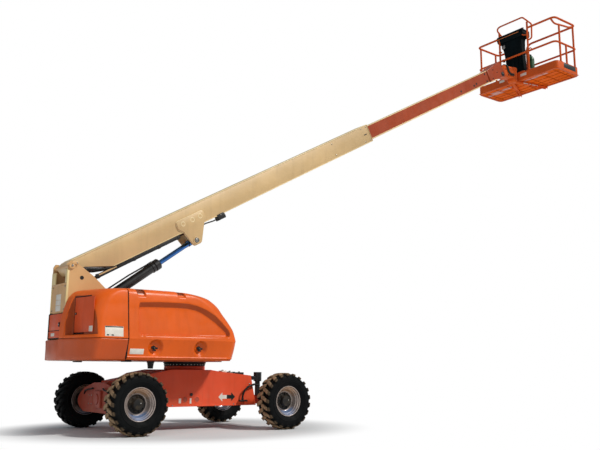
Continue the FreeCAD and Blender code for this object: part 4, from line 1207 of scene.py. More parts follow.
def add_engine_bay():
    """What shows with a hood raised: engine with its head, fan and filter; tank with cap and level glass."""
    low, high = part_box("engine")
    bay = Shape()
    mid = (low + high) / 2
    # crankcase, head, rocker cover and tray: how far in from the box at the back, front, right and left,
    # then the bottom and the top above its floor
    for back, front, right, left, foot, top, edge, finish in (
            (0.12, 0.18, 0.07, 0.08, 0.05, 0.3, 0.02, 0), (0.16, 0.24, 0.1, 0.12, 0.28, 0.47, 0.015, 0),
            (0.18, 0.28, 0.12, 0.16, 0.46, 0.52, 0.02, 1), (0.0, 0.0, 0.0, 0.0, 0.0, 0.05, 0.008, 0)):
        bay.block((low.x + back, low.y + right, low.z + foot), (high.x - front, high.y - left, low.z + top),
                  edge, finish=finish)
    for i in range(4):
        x = low.x + 0.22 + i * 0.09
        bay.hose([(x, high.y - 0.13, low.z + 0.4), (x, high.y - 0.06, low.z + 0.4),
                  (x + 0.02, high.y - 0.05, low.z + 0.3), (high.x - 0.3, high.y - 0.05, low.z + 0.28)], 0.04,
                 0.018, 2)
        bay.bolt((x, mid.y, low.z + 0.52), Z, 0.009, 2)
    fan = Matrix.Translation((high.x - 0.17, mid.y, low.z + 0.26)) @ Matrix.Rotation(math.pi / 2, 4, "Y")
    bay.turned([(0.0, 0.0), (0.03, 0.0), (0.03, 0.03), (0.075, 0.035), (0.078, 0.05), (0.03, 0.055),
                (0.0, 0.06)], fan, 40, 1)
    bay.block((high.x - 0.08, low.y + 0.03, low.z + 0.05), (high.x, high.y - 0.03, high.z - 0.05), 0.012)
    for i in range(14):
        z = low.z + 0.09 + i * 0.037
        bay.block((high.x - 0.09, low.y + 0.05, z), (high.x - 0.078, high.y - 0.05, z + 0.012), 0.003, finish=2)
    tank = Matrix.Translation((low.x + 0.22, mid.y, high.z - 0.09)) @ Matrix.Rotation(math.pi / 2, 4, "Y")
    bay.turned([(0.0, -0.15), (0.075, -0.15), (0.085, -0.14), (0.085, 0.14), (0.075, 0.15), (0.0, 0.15)],
               tank, 40, 1)
    bay.hose([(low.x + 0.36, mid.y, high.z - 0.09), (low.x + 0.47, mid.y, high.z - 0.09),
              (low.x + 0.5, mid.y + 0.04, low.z + 0.5)], 0.06, 0.03, 3)
    bay.finish("engine_detail", "turntable", ["cast", "black", "steel", "hose"], "cast_black", ["engine"])

    low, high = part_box("hydraulic_tank")
    tank = Shape()
    tank.block(low, high, 0.03, segments=3)
    neck = Matrix.Translation((high.x - 0.16, (low.y + high.y) / 2, high.z - 0.004))
    tank.turned([(0.0, 0.0), (0.05, 0.0), (0.05, 0.03), (0.046, 0.034), (0.046, 0.05), (0.0, 0.052)], neck,
                32, 1)
    tank.block((low.x + 0.14, low.y - 0.006, low.z + 0.1), (low.x + 0.18, low.y + 0.004, low.z + 0.28), 0.004,
               finish=2)
    for i in range(3):
        y = low.y + 0.1 + i * 0.1
        tank.bar((low.x + 0.2, y, high.z), (low.x + 0.2, y, high.z + 0.04), 0.024, 3, 0.003, 6)
        tank.hose([(low.x + 0.2, y, high.z + 0.03), (low.x + 0.2, y, high.z + 0.12),
                   (low.x + 0.3 + i * 0.1, y + 0.02, high.z + 0.12), (low.x + 0.55, y + 0.03, high.z + 0.03)],
                  0.05, 0.013, 1)
    tank.finish("hydraulic_tank_body", "turntable", ["door", "hose", "plate", "steel"], "red_orange",
                ["hydraulic_tank"])


def add_slew_ring():
    """Bearing races with their bolts."""
    bolts = 36
    low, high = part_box("lower_bearing")
    radius = high.x * 0.9
    ring = Shape()
    outer = [(radius - 0.088, low.z), (radius - 0.002, low.z), (radius, low.z + 0.006),
             (radius, high.z - 0.01), (radius - 0.008, high.z), (radius - 0.088, high.z)]
    ring.turned(outer, Matrix.Identity(4), 96, closed=True)
    for i in range(bolts):
        a = math.tau * (i + 0.5) / bolts
        spot = Vector((math.cos(a), math.sin(a), 0)) * (radius - 0.03)
        ring.bolt(spot + Z * low.z, Z, 0.01, 0, 0.012)
    ring.finish("slew_ring_lower", "chassis", ["chassis"], "red_orange", ["lower_bearing"])
    low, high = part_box("upper_bearing")
    radius = high.x * 0.9
    ring = Shape()
    outer = [(radius - 0.09, low.z), (radius - 0.016, low.z), (radius - 0.014, low.z + 0.008),
             (radius - 0.014, high.z - 0.024), (radius, high.z - 0.02), (radius, high.z),
             (radius - 0.09, high.z)]
    ring.turned(outer, Matrix.Identity(4), 96, closed=True)
    for i in range(bolts):
        a = math.tau * i / bolts
        out = Vector((math.cos(a), math.sin(a), 0))
        ring.bolt(out * (radius - 0.016) + Z * (low.z + 0.02), out, 0.009, 1, 0.008)
    ring.finish("slew_ring_upper", "turntable", ["cast", "steel"], "cast_black", ["upper_bearing"])


# ---------------------------------------------------------------- booms
def boom_numbers():
    """Half width, underside and top of the base tube, and its end, in the boom's own frame."""
    back = boom_frame.inverted()
    spots = [back @ v.co for v in frame["nodes"]["base_boom"].data.vertices]
    end = max(p.x for p in spots)
    tube = [p for p in spots if p.x > end - 0.001]
    return max(p.y for p in tube), min(p.z for p in tube), max(p.z for p in tube), end


def fly_numbers():
    """Half width, underside, top, start and end of the fly boom, in the boom's own frame."""
    back = boom_frame.inverted()
    spots = [back @ v.co for v in frame["nodes"]["fly_boom"].data.vertices]
    return (max(p.y for p in spots), min(p.z for p in spots), max(p.z for p in spots),
            min(p.x for p in spots), max(p.x for p in spots))


def add_base_boom_trim():
    """The base tube with its rounded heel, edge beads pale as a painted highlight, end collar, bolts and wear
    pads.
    """
    half, low, high, end = boom_numbers()
    fly_half, fly_low, fly_high = fly_numbers()[:3]
    taper_end = 0.62
    trim = Shape()
    at = boom_frame
    skin = 0.01
    round_end = [(0.085, high), (0.04, high - 0.004), (0.0, high - 0.02), (-0.028, high - 0.046),
                 (-0.044, high - 0.085), (-0.044, high - 0.13), (-0.03, -0.11)]
    belly = [(0.22, -0.1), (taper_end, low)]
    heel = belly + [(end, low), (end, high)] + round_end
    side = aligned(X, Z, -Y)
    for out in (-1, 1):
        trim.plate(heel, skin, at @ Matrix.Translation((0, -half + skin if out < 0 else half, 0)) @ side, 0.003)
        trim.bar(on_boom(0, out * (half - 0.004), 0), on_boom(0, out * (half + 0.082), 0), 0.034, 0, 0.004, 48)
    trim.block((0.085, -half, high - skin), (end, half, high), 0.003, at)
    trim.block((taper_end, -half, low), (end, half, low + skin), 0.003, at)
    inner_face = [(taper_end, low + skin), (0.224, -0.09)]
    inner_face += [(u + 0.01, w - 0.01) for u, w in reversed(round_end)]
    across = at @ Matrix.Translation((0, half - 0.006, 0)) @ side
    trim.plate(round_end + belly + inner_face, half * 2 - 0.012, across, 0.0)
    # beads along the top and bottom edges, their pale colour a painted highlight
    trim.block((0.085, -half - 0.007, high - 0.01), (end, half + 0.007, high + 0.004), 0.003, at, 4)
    trim.block((taper_end, -half - 0.007, low - 0.004), (end, half + 0.007, low + 0.008), 0.003, at, 4)
    for out in (-1, 1):
        for u, w in ((end - 0.05, high - 0.035), (end - 0.19, high - 0.035), (end - 0.05, low + 0.035),
                     (end - 0.19, low + 0.035), (end - 1.02, high - 0.06), (end - 1.02, low + 0.06)):
            trim.bolt(on_boom(u, out * half, w), Y * out, 0.01, 1)
        trim.beside(out, (end - 0.012, half, low), (end, half + 0.006, high), 0.002, 0, at)
        trim.beside(out, (end - 0.17, half, low + 0.16), (end - 0.09, half + 0.0015, low + 0.178), 0.001, 2, at)
    # wear pads in the mouth
    for out in (-1, 1):
        trim.beside(out, (end - 0.1, fly_half + 0.006, low + 0.05), (end + 0.01, half - 0.01, high - 0.05),
                    0.004, 3, at)
    trim.block((end - 0.1, -fly_half, fly_high + 0.006), (end + 0.01, fly_half, high - 0.01), 0.004, at, 3)
    trim.block((end - 0.1, -fly_half, low + 0.01), (end + 0.01, fly_half, fly_low - 0.006), 0.004, at, 3)
    trim.finish("base_boom_tube", "base_boom", ["boom", "steel", "black", "console", "boom_edge"], "tan",
                ["base_boom"])


def add_lift_lugs():
    """Welded plates that carry the lift cylinder's rod, with plug welds, pin heads and a bead round them."""
    back = boom_frame.inverted()
    spots = [back @ v.co for v in frame["nodes"]["lift_lugs"].data.vertices]
    half = max(p.y for p in spots)
    pin_u, pin_w = rod_eye
    outline = [(pin_u - 0.075, pin_w - 0.062), (pin_u + 0.075, pin_w - 0.062), (pin_u + 0.262, pin_w + 0.205),
               (pin_u + 0.325, pin_w + 0.255), (pin_u + 0.325, pin_w + 0.392), (pin_u - 0.215, pin_w + 0.392),
               (pin_u - 0.215, pin_w + 0.265), (pin_u - 0.155, pin_w + 0.215)]
    rounded = [(p.x, p.y) for p in bent([(u, w, 0) for u, w in outline], 0.055, 6, closed=True)]
    lugs = Shape()
    for out in (-1, 1):
        place = boom_frame @ Matrix.Translation((0, half if out > 0 else 0.02 - half, 0)) @ aligned(X, Z, -Y)
        lugs.plate(rounded, 0.022, place, 0.004)
        # the beads round the plates and the plug welds are pale: a painted highlight
        lugs.tube([on_boom(u, out * (half - 0.017), w) for u, w in rounded], 0.0085, 1, 8, closed=True)
        for u, w in ((pin_u - 0.105, pin_w + 0.32), (pin_u + 0.08, pin_w + 0.32), (pin_u + 0.235, pin_w + 0.32)):
            ring = boom_frame @ outward((u, out * (half + 0.001), w), out)
            lugs.turned([(0.0, 0.0005), (0.026, 0.0005), (0.031, 0.003), (0.037, 0.003), (0.041, 0.0)], ring,
                        28, 1)
        spot = on_boom(pin_u, out * (half + 0.002), pin_w)
        lugs.bar(spot - Y * out * 0.02, spot + Y * out * 0.012, 0.038, 2, 0.003, 32)
        lugs.bolt(spot + Y * out * 0.01, Y * out, 0.012, 2)
        boss = boom_frame @ outward((pin_u, out * half, pin_w), out)
        lugs.turned([(0.044, 0.0), (0.044, 0.01), (0.06, 0.01), (0.063, 0.0)], boss, 32, 0)
    lugs.bar(on_boom(pin_u, -half + 0.02, pin_w), on_boom(pin_u, half - 0.02, pin_w), 0.034, 2)
    lugs.finish("lift_lug_plates", "base_boom", ["boom", "weld_bead", "steel"], "tan", ["lift_lugs"])


def add_boom_lines():
    """Hose tray, steel line and clamp below the base boom, and the bundle that enters the mast."""
    half, low = boom_numbers()[:2]
    lines = Shape()
    at = boom_frame
    u0, u1 = 0.31, 1.816
    lines.block((0.34, -half + 0.003, low - 0.034), (0.66, -half + 0.058, low - 0.012), 0.003, at, 4)
    lines.block((u0, -half + 0.004, low - 0.062), (u1, -half + 0.062, low - 0.052), 0.003, at, 0)
    lines.block((u0, -half + 0.004, low - 0.062), (u1, -half + 0.01, low - 0.002), 0.003, at, 0)
    for u in (0.33, 0.95, 1.4, 1.76):
        lines.block((u, -half, low - 0.068), (u + 0.035, -half + 0.062, low), 0.004, at, 0)
    stations = [u0 - 0.02 + k * 0.098 for k in range(16)]
    for i, (dy, dw) in enumerate(((0.018, -0.04), (0.034, -0.042), (0.05, -0.038), (0.028, -0.022))):
        route = [on_boom(u, -half + dy, low + dw + 0.003 * math.sin(u * 9 + i)) for u in stations]
        lines.tube(route, 0.0085, 1, 8)
    lines.hose([on_boom(1.8, -half + 0.04, low - 0.03), on_boom(2.36, -half + 0.03, low - 0.03),
                on_boom(2.48, -half + 0.025, low - 0.046), on_boom(2.75, -half + 0.025, low - 0.05)], 0.12,
               0.011, 1, 10)
    lines.block((2.56, -half, low - 0.08), (2.74, -half + 0.06, low), 0.008, at, 0)
    lines.block((2.58, -half - 0.012, low - 0.072), (2.72, -half + 0.006, low + 0.016), 0.006, at, 0)
    lines.bolt(on_boom(2.65, -half - 0.01, low - 0.004), -Y, 0.01, 2)
    # grey bundle from the tray's lower end down between the mast's cheeks
    for i, y in enumerate((-0.131, -0.095, -0.059, 0.059, 0.095, 0.131)):
        lines.hose([on_boom(0.76, y, low - 0.004), on_boom(0.6, y, low - 0.016),
                    on_boom(0.41, y, -0.226 - 0.004 * (i % 2)), on_boom(0.22, y, -0.138),
                    on_boom(0.1, y, -0.105)], 0.16, 0.018, 3 if i % 3 else 1, 10, steps=8)
    lines.finish("boom_lines", "base_boom", ["black", "hose", "steel", "hose_grey", "boom"], "hose_rubber",
                 ["hose_tray"])


def add_fly_trim():
    """Edge beads along the fly boom, pale as a painted highlight, and the rings at its tip."""
    half, low, high, start, end = fly_numbers()
    at = boom_frame
    trim = Shape()
    trim.block((start + 0.05, -half - 0.003, high - 0.01), (end - 0.004, half + 0.003, high + 0.004), 0.002,
               at, 1)
    trim.block((start + 0.05, -half - 0.003, low - 0.005), (end - 0.004, half + 0.003, low + 0.018), 0.002,
               at, 1)
    for out in (-1, 1):
        for u, w in ((9.62, low + 0.095), (10.12, low + 0.085), (10.22, low + 0.1), (10.62, low + 0.05),
                     (10.62, high - 0.05)):
            ring = at @ outward((u, out * half, w), out)
            trim.turned([(0.0, 0.001), (0.013, 0.001), (0.016, 0.004), (0.022, 0.004), (0.024, 0.0)], ring,
                        24, 2)
    trim.finish("fly_boom_trim", "fly_boom", ["fly", "fly_edge", "black"], "red_orange")


def add_nose_trim():
    """Levelling pins, bolts, flanges and seams of the boom's nose."""
    half, low, high, _, end = fly_numbers()
    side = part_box("boom_nose")[1].y
    at = boom_frame
    trim = Shape()
    for out in (-1, 1):
        pin = Vector((level_pin.x, out * side, level_pin.z))
        ring = outward(pin, out)
        trim.turned([(0.0, 0.012), (0.03, 0.012), (0.034, 0.009), (0.034, 0.004), (0.052, 0.004),
                     (0.056, 0.0)], ring, 36, 1)
        trim.bar(pin + Y * out * 0.01, pin + Y * out * 0.014, 0.012, 2, 0.001, 6)
        for u, w in ((end + 0.1, low + 0.05), (end + 0.2, high - 0.04), (end + 0.32, low + 0.14)):
            trim.bolt(on_boom(u, out * side, w), Y * out, 0.012, 1)
        # raised flanges round the nose's plates; the lower front one is pale as a painted highlight
        for u0, w0, u1, w1, key in ((end - 0.01, high, end + 0.27, high + 0.044, 0),
                                    (end + 0.22, low - 0.008, end + 0.56, low - 0.019, 0),
                                    (end - 0.01, low, end + 0.22, low - 0.008, 4)):
            trim.tube([on_boom(u0, out * (side - 0.002), w0), on_boom(u1, out * (side - 0.002), w1)],
                      0.012 if key else 0.007, key, 8)
        trim.beside(out, (end - 0.03, half, low + 0.004), (end + 0.012, side + 0.003, high - 0.004), 0.003, 0,
                    at)
    trim.finish("boom_nose_trim", "fly_boom", ["fly", "black", "steel", "hose", "fly_edge"], "red_orange")


def lift_place():
    """The lift cylinder's own frame, with X along it from the heel pin, and how far its eye is from there."""
    eye = on_boom(rod_eye[0], 0, rod_eye[1])
    axis = eye - lift_heel
    axis.y = 0
    axis.normalize()
    return Matrix.Translation(lift_heel) @ aligned(axis, Y, axis.cross(Y)), (eye - lift_heel).length


def add_lift_cylinder():
    """Barrel with its gland and port tube, and the rod with its eye."""
    place, reach = lift_place()
    barrel = Shape()
    turn = place @ Matrix.Rotation(math.pi / 2, 4, "Y")
    radius, end = 0.076, 1.61
    # heel, tube, then the gland with its two collars, and the bore at the rod
    profile = [(0.0, 0.045), (0.06, 0.048), (radius - 0.006, 0.062), (radius - 0.004, 0.075)]
    profile += [(radius + r, end - z) for r, z in (
        (-0.004, 0.15), (0.006, 0.146), (0.006, 0.11), (-0.001, 0.106), (-0.001, 0.09), (0.01, 0.086),
        (0.01, 0.01))]
    profile += [(radius + 0.001, end), (0.045, end), (0.0405, end + 0.004), (0.0385, end),
                (0.0385, end - 0.05), (0.0, end - 0.05)]
    barrel.turned(profile, turn, 64)
    barrel.bar(place @ Vector((0, -0.075, 0)), place @ Vector((0, 0.075, 0)), 0.08, 0, 0.005, 48)
    port = [(0.16, 0, 0.08), (0.24, 0, 0.106), (end - 0.52, 0, 0.102), (end - 0.15, 0, 0.08)]
    barrel.hose([place @ Vector(p) for p in port], 0.08, 0.012, steps=5)
    barrel.block((end - 0.17, -0.028, 0.066), (end - 0.085, 0.028, 0.092), 0.006, place, 0)
    barrel.block((0.11, -0.045, 0.06), (0.2, 0.045, 0.105), 0.008, place, 0)
    barrel.finish("lift_barrel_body", "lift_barrel", ["barrel", "steel"], "black_paint", ["lift_barrel"])
    rod = Shape()
    rod.turned([(0.0, 0.8), (0.034, 0.8), (0.038, 0.806), (0.038, reach - 0.1), (0.036, reach - 0.085),
                (0.05, reach - 0.075), (0.05, reach - 0.03), (0.0, reach - 0.02)], turn, 48)
    rod.bar(place @ Vector((reach, -0.055, 0)), place @ Vector((reach, 0.055, 0)), 0.052, 1, 0.004, 48)
    rod.finish("lift_rod_body", "lift_rod", ["rod", "cast"], "chrome_rod", ["lift_rod"])


# ---------------------------------------------------------------- work platform
def add_support_trim():
    """The turner's drum with its flanges and bolts, and the hoses that drop to the platform."""
    low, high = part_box("platform_support")
    trim = Shape()
    drum = Matrix.Translation((turner.x, 0, 0))
    for z, r in ((low.z + 0.06, 0.116), (high.z - 0.035, 0.118)):
        trim.turned([(0.1, z - 0.012), (r, z - 0.01), (r + 0.002, z), (r, z + 0.01), (0.1, z + 0.012)], drum,
                    48, closed=True)
    for i in range(10):
        a = math.tau * i / 10
        trim.bolt((turner.x + 0.09 * math.cos(a), 0.09 * math.sin(a), high.z), Z, 0.01, 1)
    for out in (-1, 1):
        for x, z in ((level_pin.x + 0.16, level_pin.z + 0.17), (level_pin.x + 0.32, level_pin.z + 0.22),
                     (level_pin.x + 0.25, level_pin.z + 0.05)):
            trim.bolt((x, out * 0.086, z), Y * out, 0.013, 2)
    for i in range(2):
        route = [(0.11, -0.03 - 0.025 * i, 0.225), (0.125 + 0.03 * i, -0.045, 0.29),
                 (0.19 + 0.03 * i, -0.101, 0.265), (0.245 + 0.03 * i, -0.101, 0.12),
                 (0.33, -0.101, 0.062 + 0.034 * i), (0.445, -0.1, 0.08 + 0.034 * i)]
        trim.hose([level_pin + Vector(p) for p in route], 0.07, 0.014, 3, steps=8)
    trim.finish("platform_support_trim", "platform_support", ["cage", "steel", "black", "hose_green"],
                "red_orange")


def ring_of(low, high, inset, corner, z, steps=5):
    """A rounded rectangle's loop of points at one height."""
    corners = [(low.x + inset, low.y + inset, z), (high.x - inset, low.y + inset, z),
               (high.x - inset, high.y - inset, z), (low.x + inset, high.y - inset, z)]
    return bent(corners, max(0.004, corner - inset), steps, closed=True)


def add_platform_floor(sizes):
    """Toe board tray with bars, expanded metal grating and blank plates."""
    low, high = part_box("platform_floor")
    foot, top = low.z, high.z
    tray = Shape()
    wall = [(0.0, foot), (0.0, top - 0.004), (0.002, top), (0.006, top), (0.006, foot + 0.008),
            (0.048, foot + 0.008), (0.05, foot + 0.004), (0.048, foot), (0.0, foot)]
    tray.stack([ring_of(low, high, inset, 0.12, z, 9) for inset, z in wall], capped=False)
    # the bars below the grating take a darker copy of the floor orange: painted shade
    bars = 7
    for i in range(bars):
        y = low.y + (i + 0.5) * (high.y - low.y) / bars
        tray.block((low.x + 0.046, y - 0.005, foot + 0.005), (high.x - 0.046, y + 0.005, foot + 0.016), 0.002,
                   finish=2)
    for x in (low.x + 0.2, low.x + 0.37, low.x + 0.54, high.x - 0.17):
        tray.block((x - 0.005, low.y + 0.046, foot + 0.007), (x + 0.005, high.y - 0.046, foot + 0.016), 0.002,
                   finish=2)
    tray.stack([ring_of(low, high, 0.005, 0.12, z, 9) for z in (foot + 0.012, foot + 0.018)], 1)
    tray.finish("platform_tray", "platform", ["cage", "floor_mesh", "floor_bar"], "red_orange",
                ["platform_floor"])

    # expanded metal: a lattice of diamonds, cut to the tray and given wire thickness
    lattice = bmesh.new()
    pitch = sizes.mesh_pitch
    wide = (high.y - low.y) * 0.75
    count = int(wide * 2 / pitch)
    bmesh.ops.create_grid(lattice, x_segments=count, y_segments=count, size=wide)
    bmesh.ops.rotate(lattice, verts=lattice.verts, cent=(0, 0, 0), matrix=Matrix.Rotation(math.pi / 4, 3, "Z"))
    bmesh.ops.scale(lattice, vec=(0.62, 1.0, 1.0), verts=lattice.verts)
    centre = (low + high) / 2
    bmesh.ops.translate(lattice, vec=(centre.x, centre.y, foot + 0.022), verts=lattice.verts)
    for point, normal in (((low.x + 0.01, 0, 0), -X), ((high.x - 0.01, 0, 0), X), ((0, low.y + 0.01, 0), -Y),
                          ((0, high.y - 0.01, 0), Y)):
        bmesh.ops.bisect_plane(lattice, geom=lattice.verts[:] + lattice.edges[:] + lattice.faces[:],
                               plane_co=point, plane_no=normal, clear_outer=True)
    bmesh.ops.wireframe(lattice, faces=lattice.faces[:], thickness=0.007, use_replace=True, use_boundary=True,
                        use_even_offset=True)
    grating = Shape()
    grating.take(lattice)
    grating.finish("platform_grating", "platform", "floor_mesh", "orange_gloss", sharp=30)

    # blank plates on the toe board and below the floor
    plates = Shape()
    plates.block((low.x - 0.0015, 0.33, foot + 0.105), (low.x + 0.002, 0.48, foot + 0.165), 0.0006)
    plates.block((low.x - 0.0015, -0.3, foot + 0.085), (low.x + 0.002, -0.13, foot + 0.15), 0.0006)
    plates.block((high.x - 0.605, low.y - 0.0015, foot + 0.06), (high.x - 0.15, low.y + 0.002, foot + 0.175),
                 0.0006, finish=1)
    for x, y, dx, dy in ((8.85, 0.76, 0.1, 0.14), (8.8, 0.42, 0.05, 0.16), (8.72, -0.3, 0.04, 0.18),
                         (8.7, -0.62, 0.04, 0.16), (8.9, 1.0, 0.05, 0.08)):
        plates.block((x - dx, y - dy, foot + 0.0095), (x + dx, y + dy, foot + 0.0125), 0.0006, finish=2)
    plates.finish("blank_plates_platform", "platform", ["plate", "plate_dark", "plate_rose"], "black_plastic")


def add_arms_trim():
    """The two arms below the floor with their hub and foot."""
    low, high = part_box("platform_arms")
    arms = Shape()
    for end_y in (-0.24, 0.52):
        start, end = Vector((turner.x, 0, 0)), Vector((high.x, end_y, 0))
        along = (end - start).normalized()
        across = Vector((-along.y, along.x, 0))
        place = Matrix.Translation((turner.x, 0, low.z)) @ aligned(along, across, Z)
        length = (end - start).length
        for out in (-1, 1):
            arms.beside(out, (0.1, 0.028, 0.0), (length, 0.034, 0.04), 0.002, 0, place)
        arms.block((0.08, -0.036, 0.034), (length + 0.004, 0.036, 0.042), 0.002, place)
        arms.block((0.08, -0.036, -0.004), (length * 0.5, 0.036, 0.003), 0.002, place)
        if end_y < 0:
            for a, b in ((0.3, 0.44), (0.475, 0.52), (0.545, 0.66), (0.69, 0.72)):
                arms.block((a, -0.0375, 0.006), (b, -0.033, 0.032), 0.0008, place, 1)
    hub = Matrix.Translation((turner.x, 0, low.z))
    arms.turned([(0.0, -0.006), (0.088, -0.006), (0.102, 0.004), (0.102, 0.04), (0.0, 0.044)], hub, 56)
    foot = Matrix.Translation((8.8, 0.245, low.z))
    arms.turned([(0.0, -0.014), (0.03, -0.014), (0.034, -0.008), (0.034, 0.044), (0.0, 0.044)], foot, 32)
    # the arms take a lighter copy of the platform orange: painted light
    arms.finish("platform_arm_rails", "platform", ["arm", "plate"], "red_orange", ["platform_arms"])


def add_rails(sizes):
    """Tube cage with its guard hoop, the gate, and the small bottle in its bands."""
    low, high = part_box("platform_floor")
    r = sizes.rail_radius
    near, far, left, right = low.x + r, high.x - r, high.y - r, low.y + r
    foot, top = high.z - 0.004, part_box("platform_rails")[1].z - r
    middle_z = top - 0.585
    gate_low, gate_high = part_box("platform_gate")
    gate_right, gate_left = gate_low.y - 0.043, gate_high.y + 0.043
    bend = sizes.rail_bend
    rails = Shape()
    console_side = 0.47
    rails.hose([(far, gate_left, foot), (far, gate_left, top), (far, left, top), (near, left, top),
                (near, console_side, top)], bend, r, 0, 14, steps=8)
    rails.tube(bent([(near, -0.365, top), (near, right, top), (far, right, top),
                     (far, gate_right + 0.02, top)], bend, 8)[:-1] + bent([(far, right + 0.3, top),
            (far, gate_right, top), (far, gate_right, foot)], 0.17, 8)[1:], r, 0, 14)
    rails.hose([(far, gate_left, middle_z), (far, left, middle_z), (near, left, middle_z),
                (near, right, middle_z), (far, right, middle_z), (far, gate_right, middle_z)], bend, r * 0.94,
               0, 14, steps=8)
    second = top - 0.15
    rails.hose([(near + 0.012, right + 0.1, top - 0.012), (near + 0.03, right + 0.03, second),
                (near + 0.16, right, second), (far - 0.26, right, second + 0.045),
                (far - 0.1, right + 0.01, top - 0.045), (far - 0.02, right + 0.08, top - 0.02)], 0.09,
               r * 0.88, 0, 14, steps=8)
    posts = ((near, 0.44, top + 0.165), (near, -0.365, top + 0.15), (near + 0.107, left, top),
             (far - 0.13, left, top), (near + 0.162, right, second), (near + 0.397, right, middle_z),
             (far - 0.1, right, second + 0.09))
    for x, y, z in posts:
        rails.tube([(x, y, foot - 0.06), (x, y, z)], r * 0.94, 0, 14)
        rails.block((x - 0.03, y - 0.03, foot - 0.002), (x + 0.03, y + 0.03, foot + 0.008), 0.003)
    rails.hose([(near - 0.004, 0.33, top - 0.01), (near - 0.004, 0.555, top + 0.312),
                (near - 0.004, -0.25, top + 0.312), (near + 0.02, -0.48, top + 0.06),
                (near + 0.02, -0.465, top - 0.29), (near + 0.004, -0.37, top - 0.31)], 0.12, 0.019, steps=8)
    rails.hose([(near, -0.365, middle_z + 0.03), (near, -0.43, middle_z + 0.075), (near, -0.47, middle_z)],
               0.04, 0.012, 0, 10)
    # midway brackets that hold the console
    for y in (0.36, -0.24):
        rails.block((near - 0.006, y - 0.02, middle_z - 0.03), (near + 0.06, y + 0.02, middle_z + 0.03),
                    0.004, finish=1)
    rails.finish("platform_cage", "platform", ["cage", "black"], "red_orange",
                 ["platform_rails", "platform_posts"], 45)

    gate = Shape()
    g0, g1 = gate_low.y + r, gate_high.y - r
    lowest, highest = gate_low.z + r, gate_high.z - r
    gate.tube(bent([(far, g0, lowest), (far, g0, highest), (far, g1, highest), (far, g1, lowest)], 0.06, 6,
                   closed=True), r, 0, 14, closed=True)
    gate.tube([(far, g0, middle_z), (far, g1, middle_z)], r * 0.9, 0, 14)
    gate.block((far - 0.012, g0 - 0.05, highest - 0.14), (far + 0.012, g0 + 0.05, highest - 0.1), 0.004,
               finish=1)
    for z in (lowest + 0.12, highest - 0.12):
        gate.bar((far, g1 + 0.022, z - 0.035), (far, g1 + 0.022, z + 0.035), 0.011, 1, 0.002, 20)
    gate.finish("platform_gate_frame", "platform_gate", ["cage", "steel"], "red_orange", ["platform_gate"], 45)

    bottle = Shape()
    side_y, base_z = gate_right - 0.178, middle_z - 0.13
    stand = Matrix.Translation((far - 0.105, side_y, base_z))
    bottle.turned([(0.0, 0.0), (0.068, 0.0), (0.079, 0.012), (0.08, 0.24), (0.074, 0.275), (0.05, 0.315),
                   (0.026, 0.335), (0.02, 0.35), (0.0, 0.352)], stand, 40)
    bottle.bar(stand @ Vector((0, 0, 0.34)), stand @ Vector((0, 0, 0.375)), 0.022, 1, 0.004)
    bottle.hose([stand @ Vector((0, -0.004, 0.36)), stand @ Vector((-0.045, -0.004, 0.38)),
                 stand @ Vector((-0.075, -0.004, 0.27))], 0.03, 0.007, 1, 10)
    for h in (0.05, 0.2):
        band = stand @ Matrix.Translation((0, 0, h))
        bottle.turned([(0.079, 0.0), (0.082, 0.001), (0.082, 0.011), (0.079, 0.012)], band, 40, 1, closed=True)
        bottle.block((far - 0.03, side_y - 0.03, base_z + h),
                     (far + 0.005, side_y + 0.03, base_z + h + 0.012), 0.003, finish=1)
    bottle.finish("platform_bottle", "platform", ["bottle_green", "black"], "black_paint")


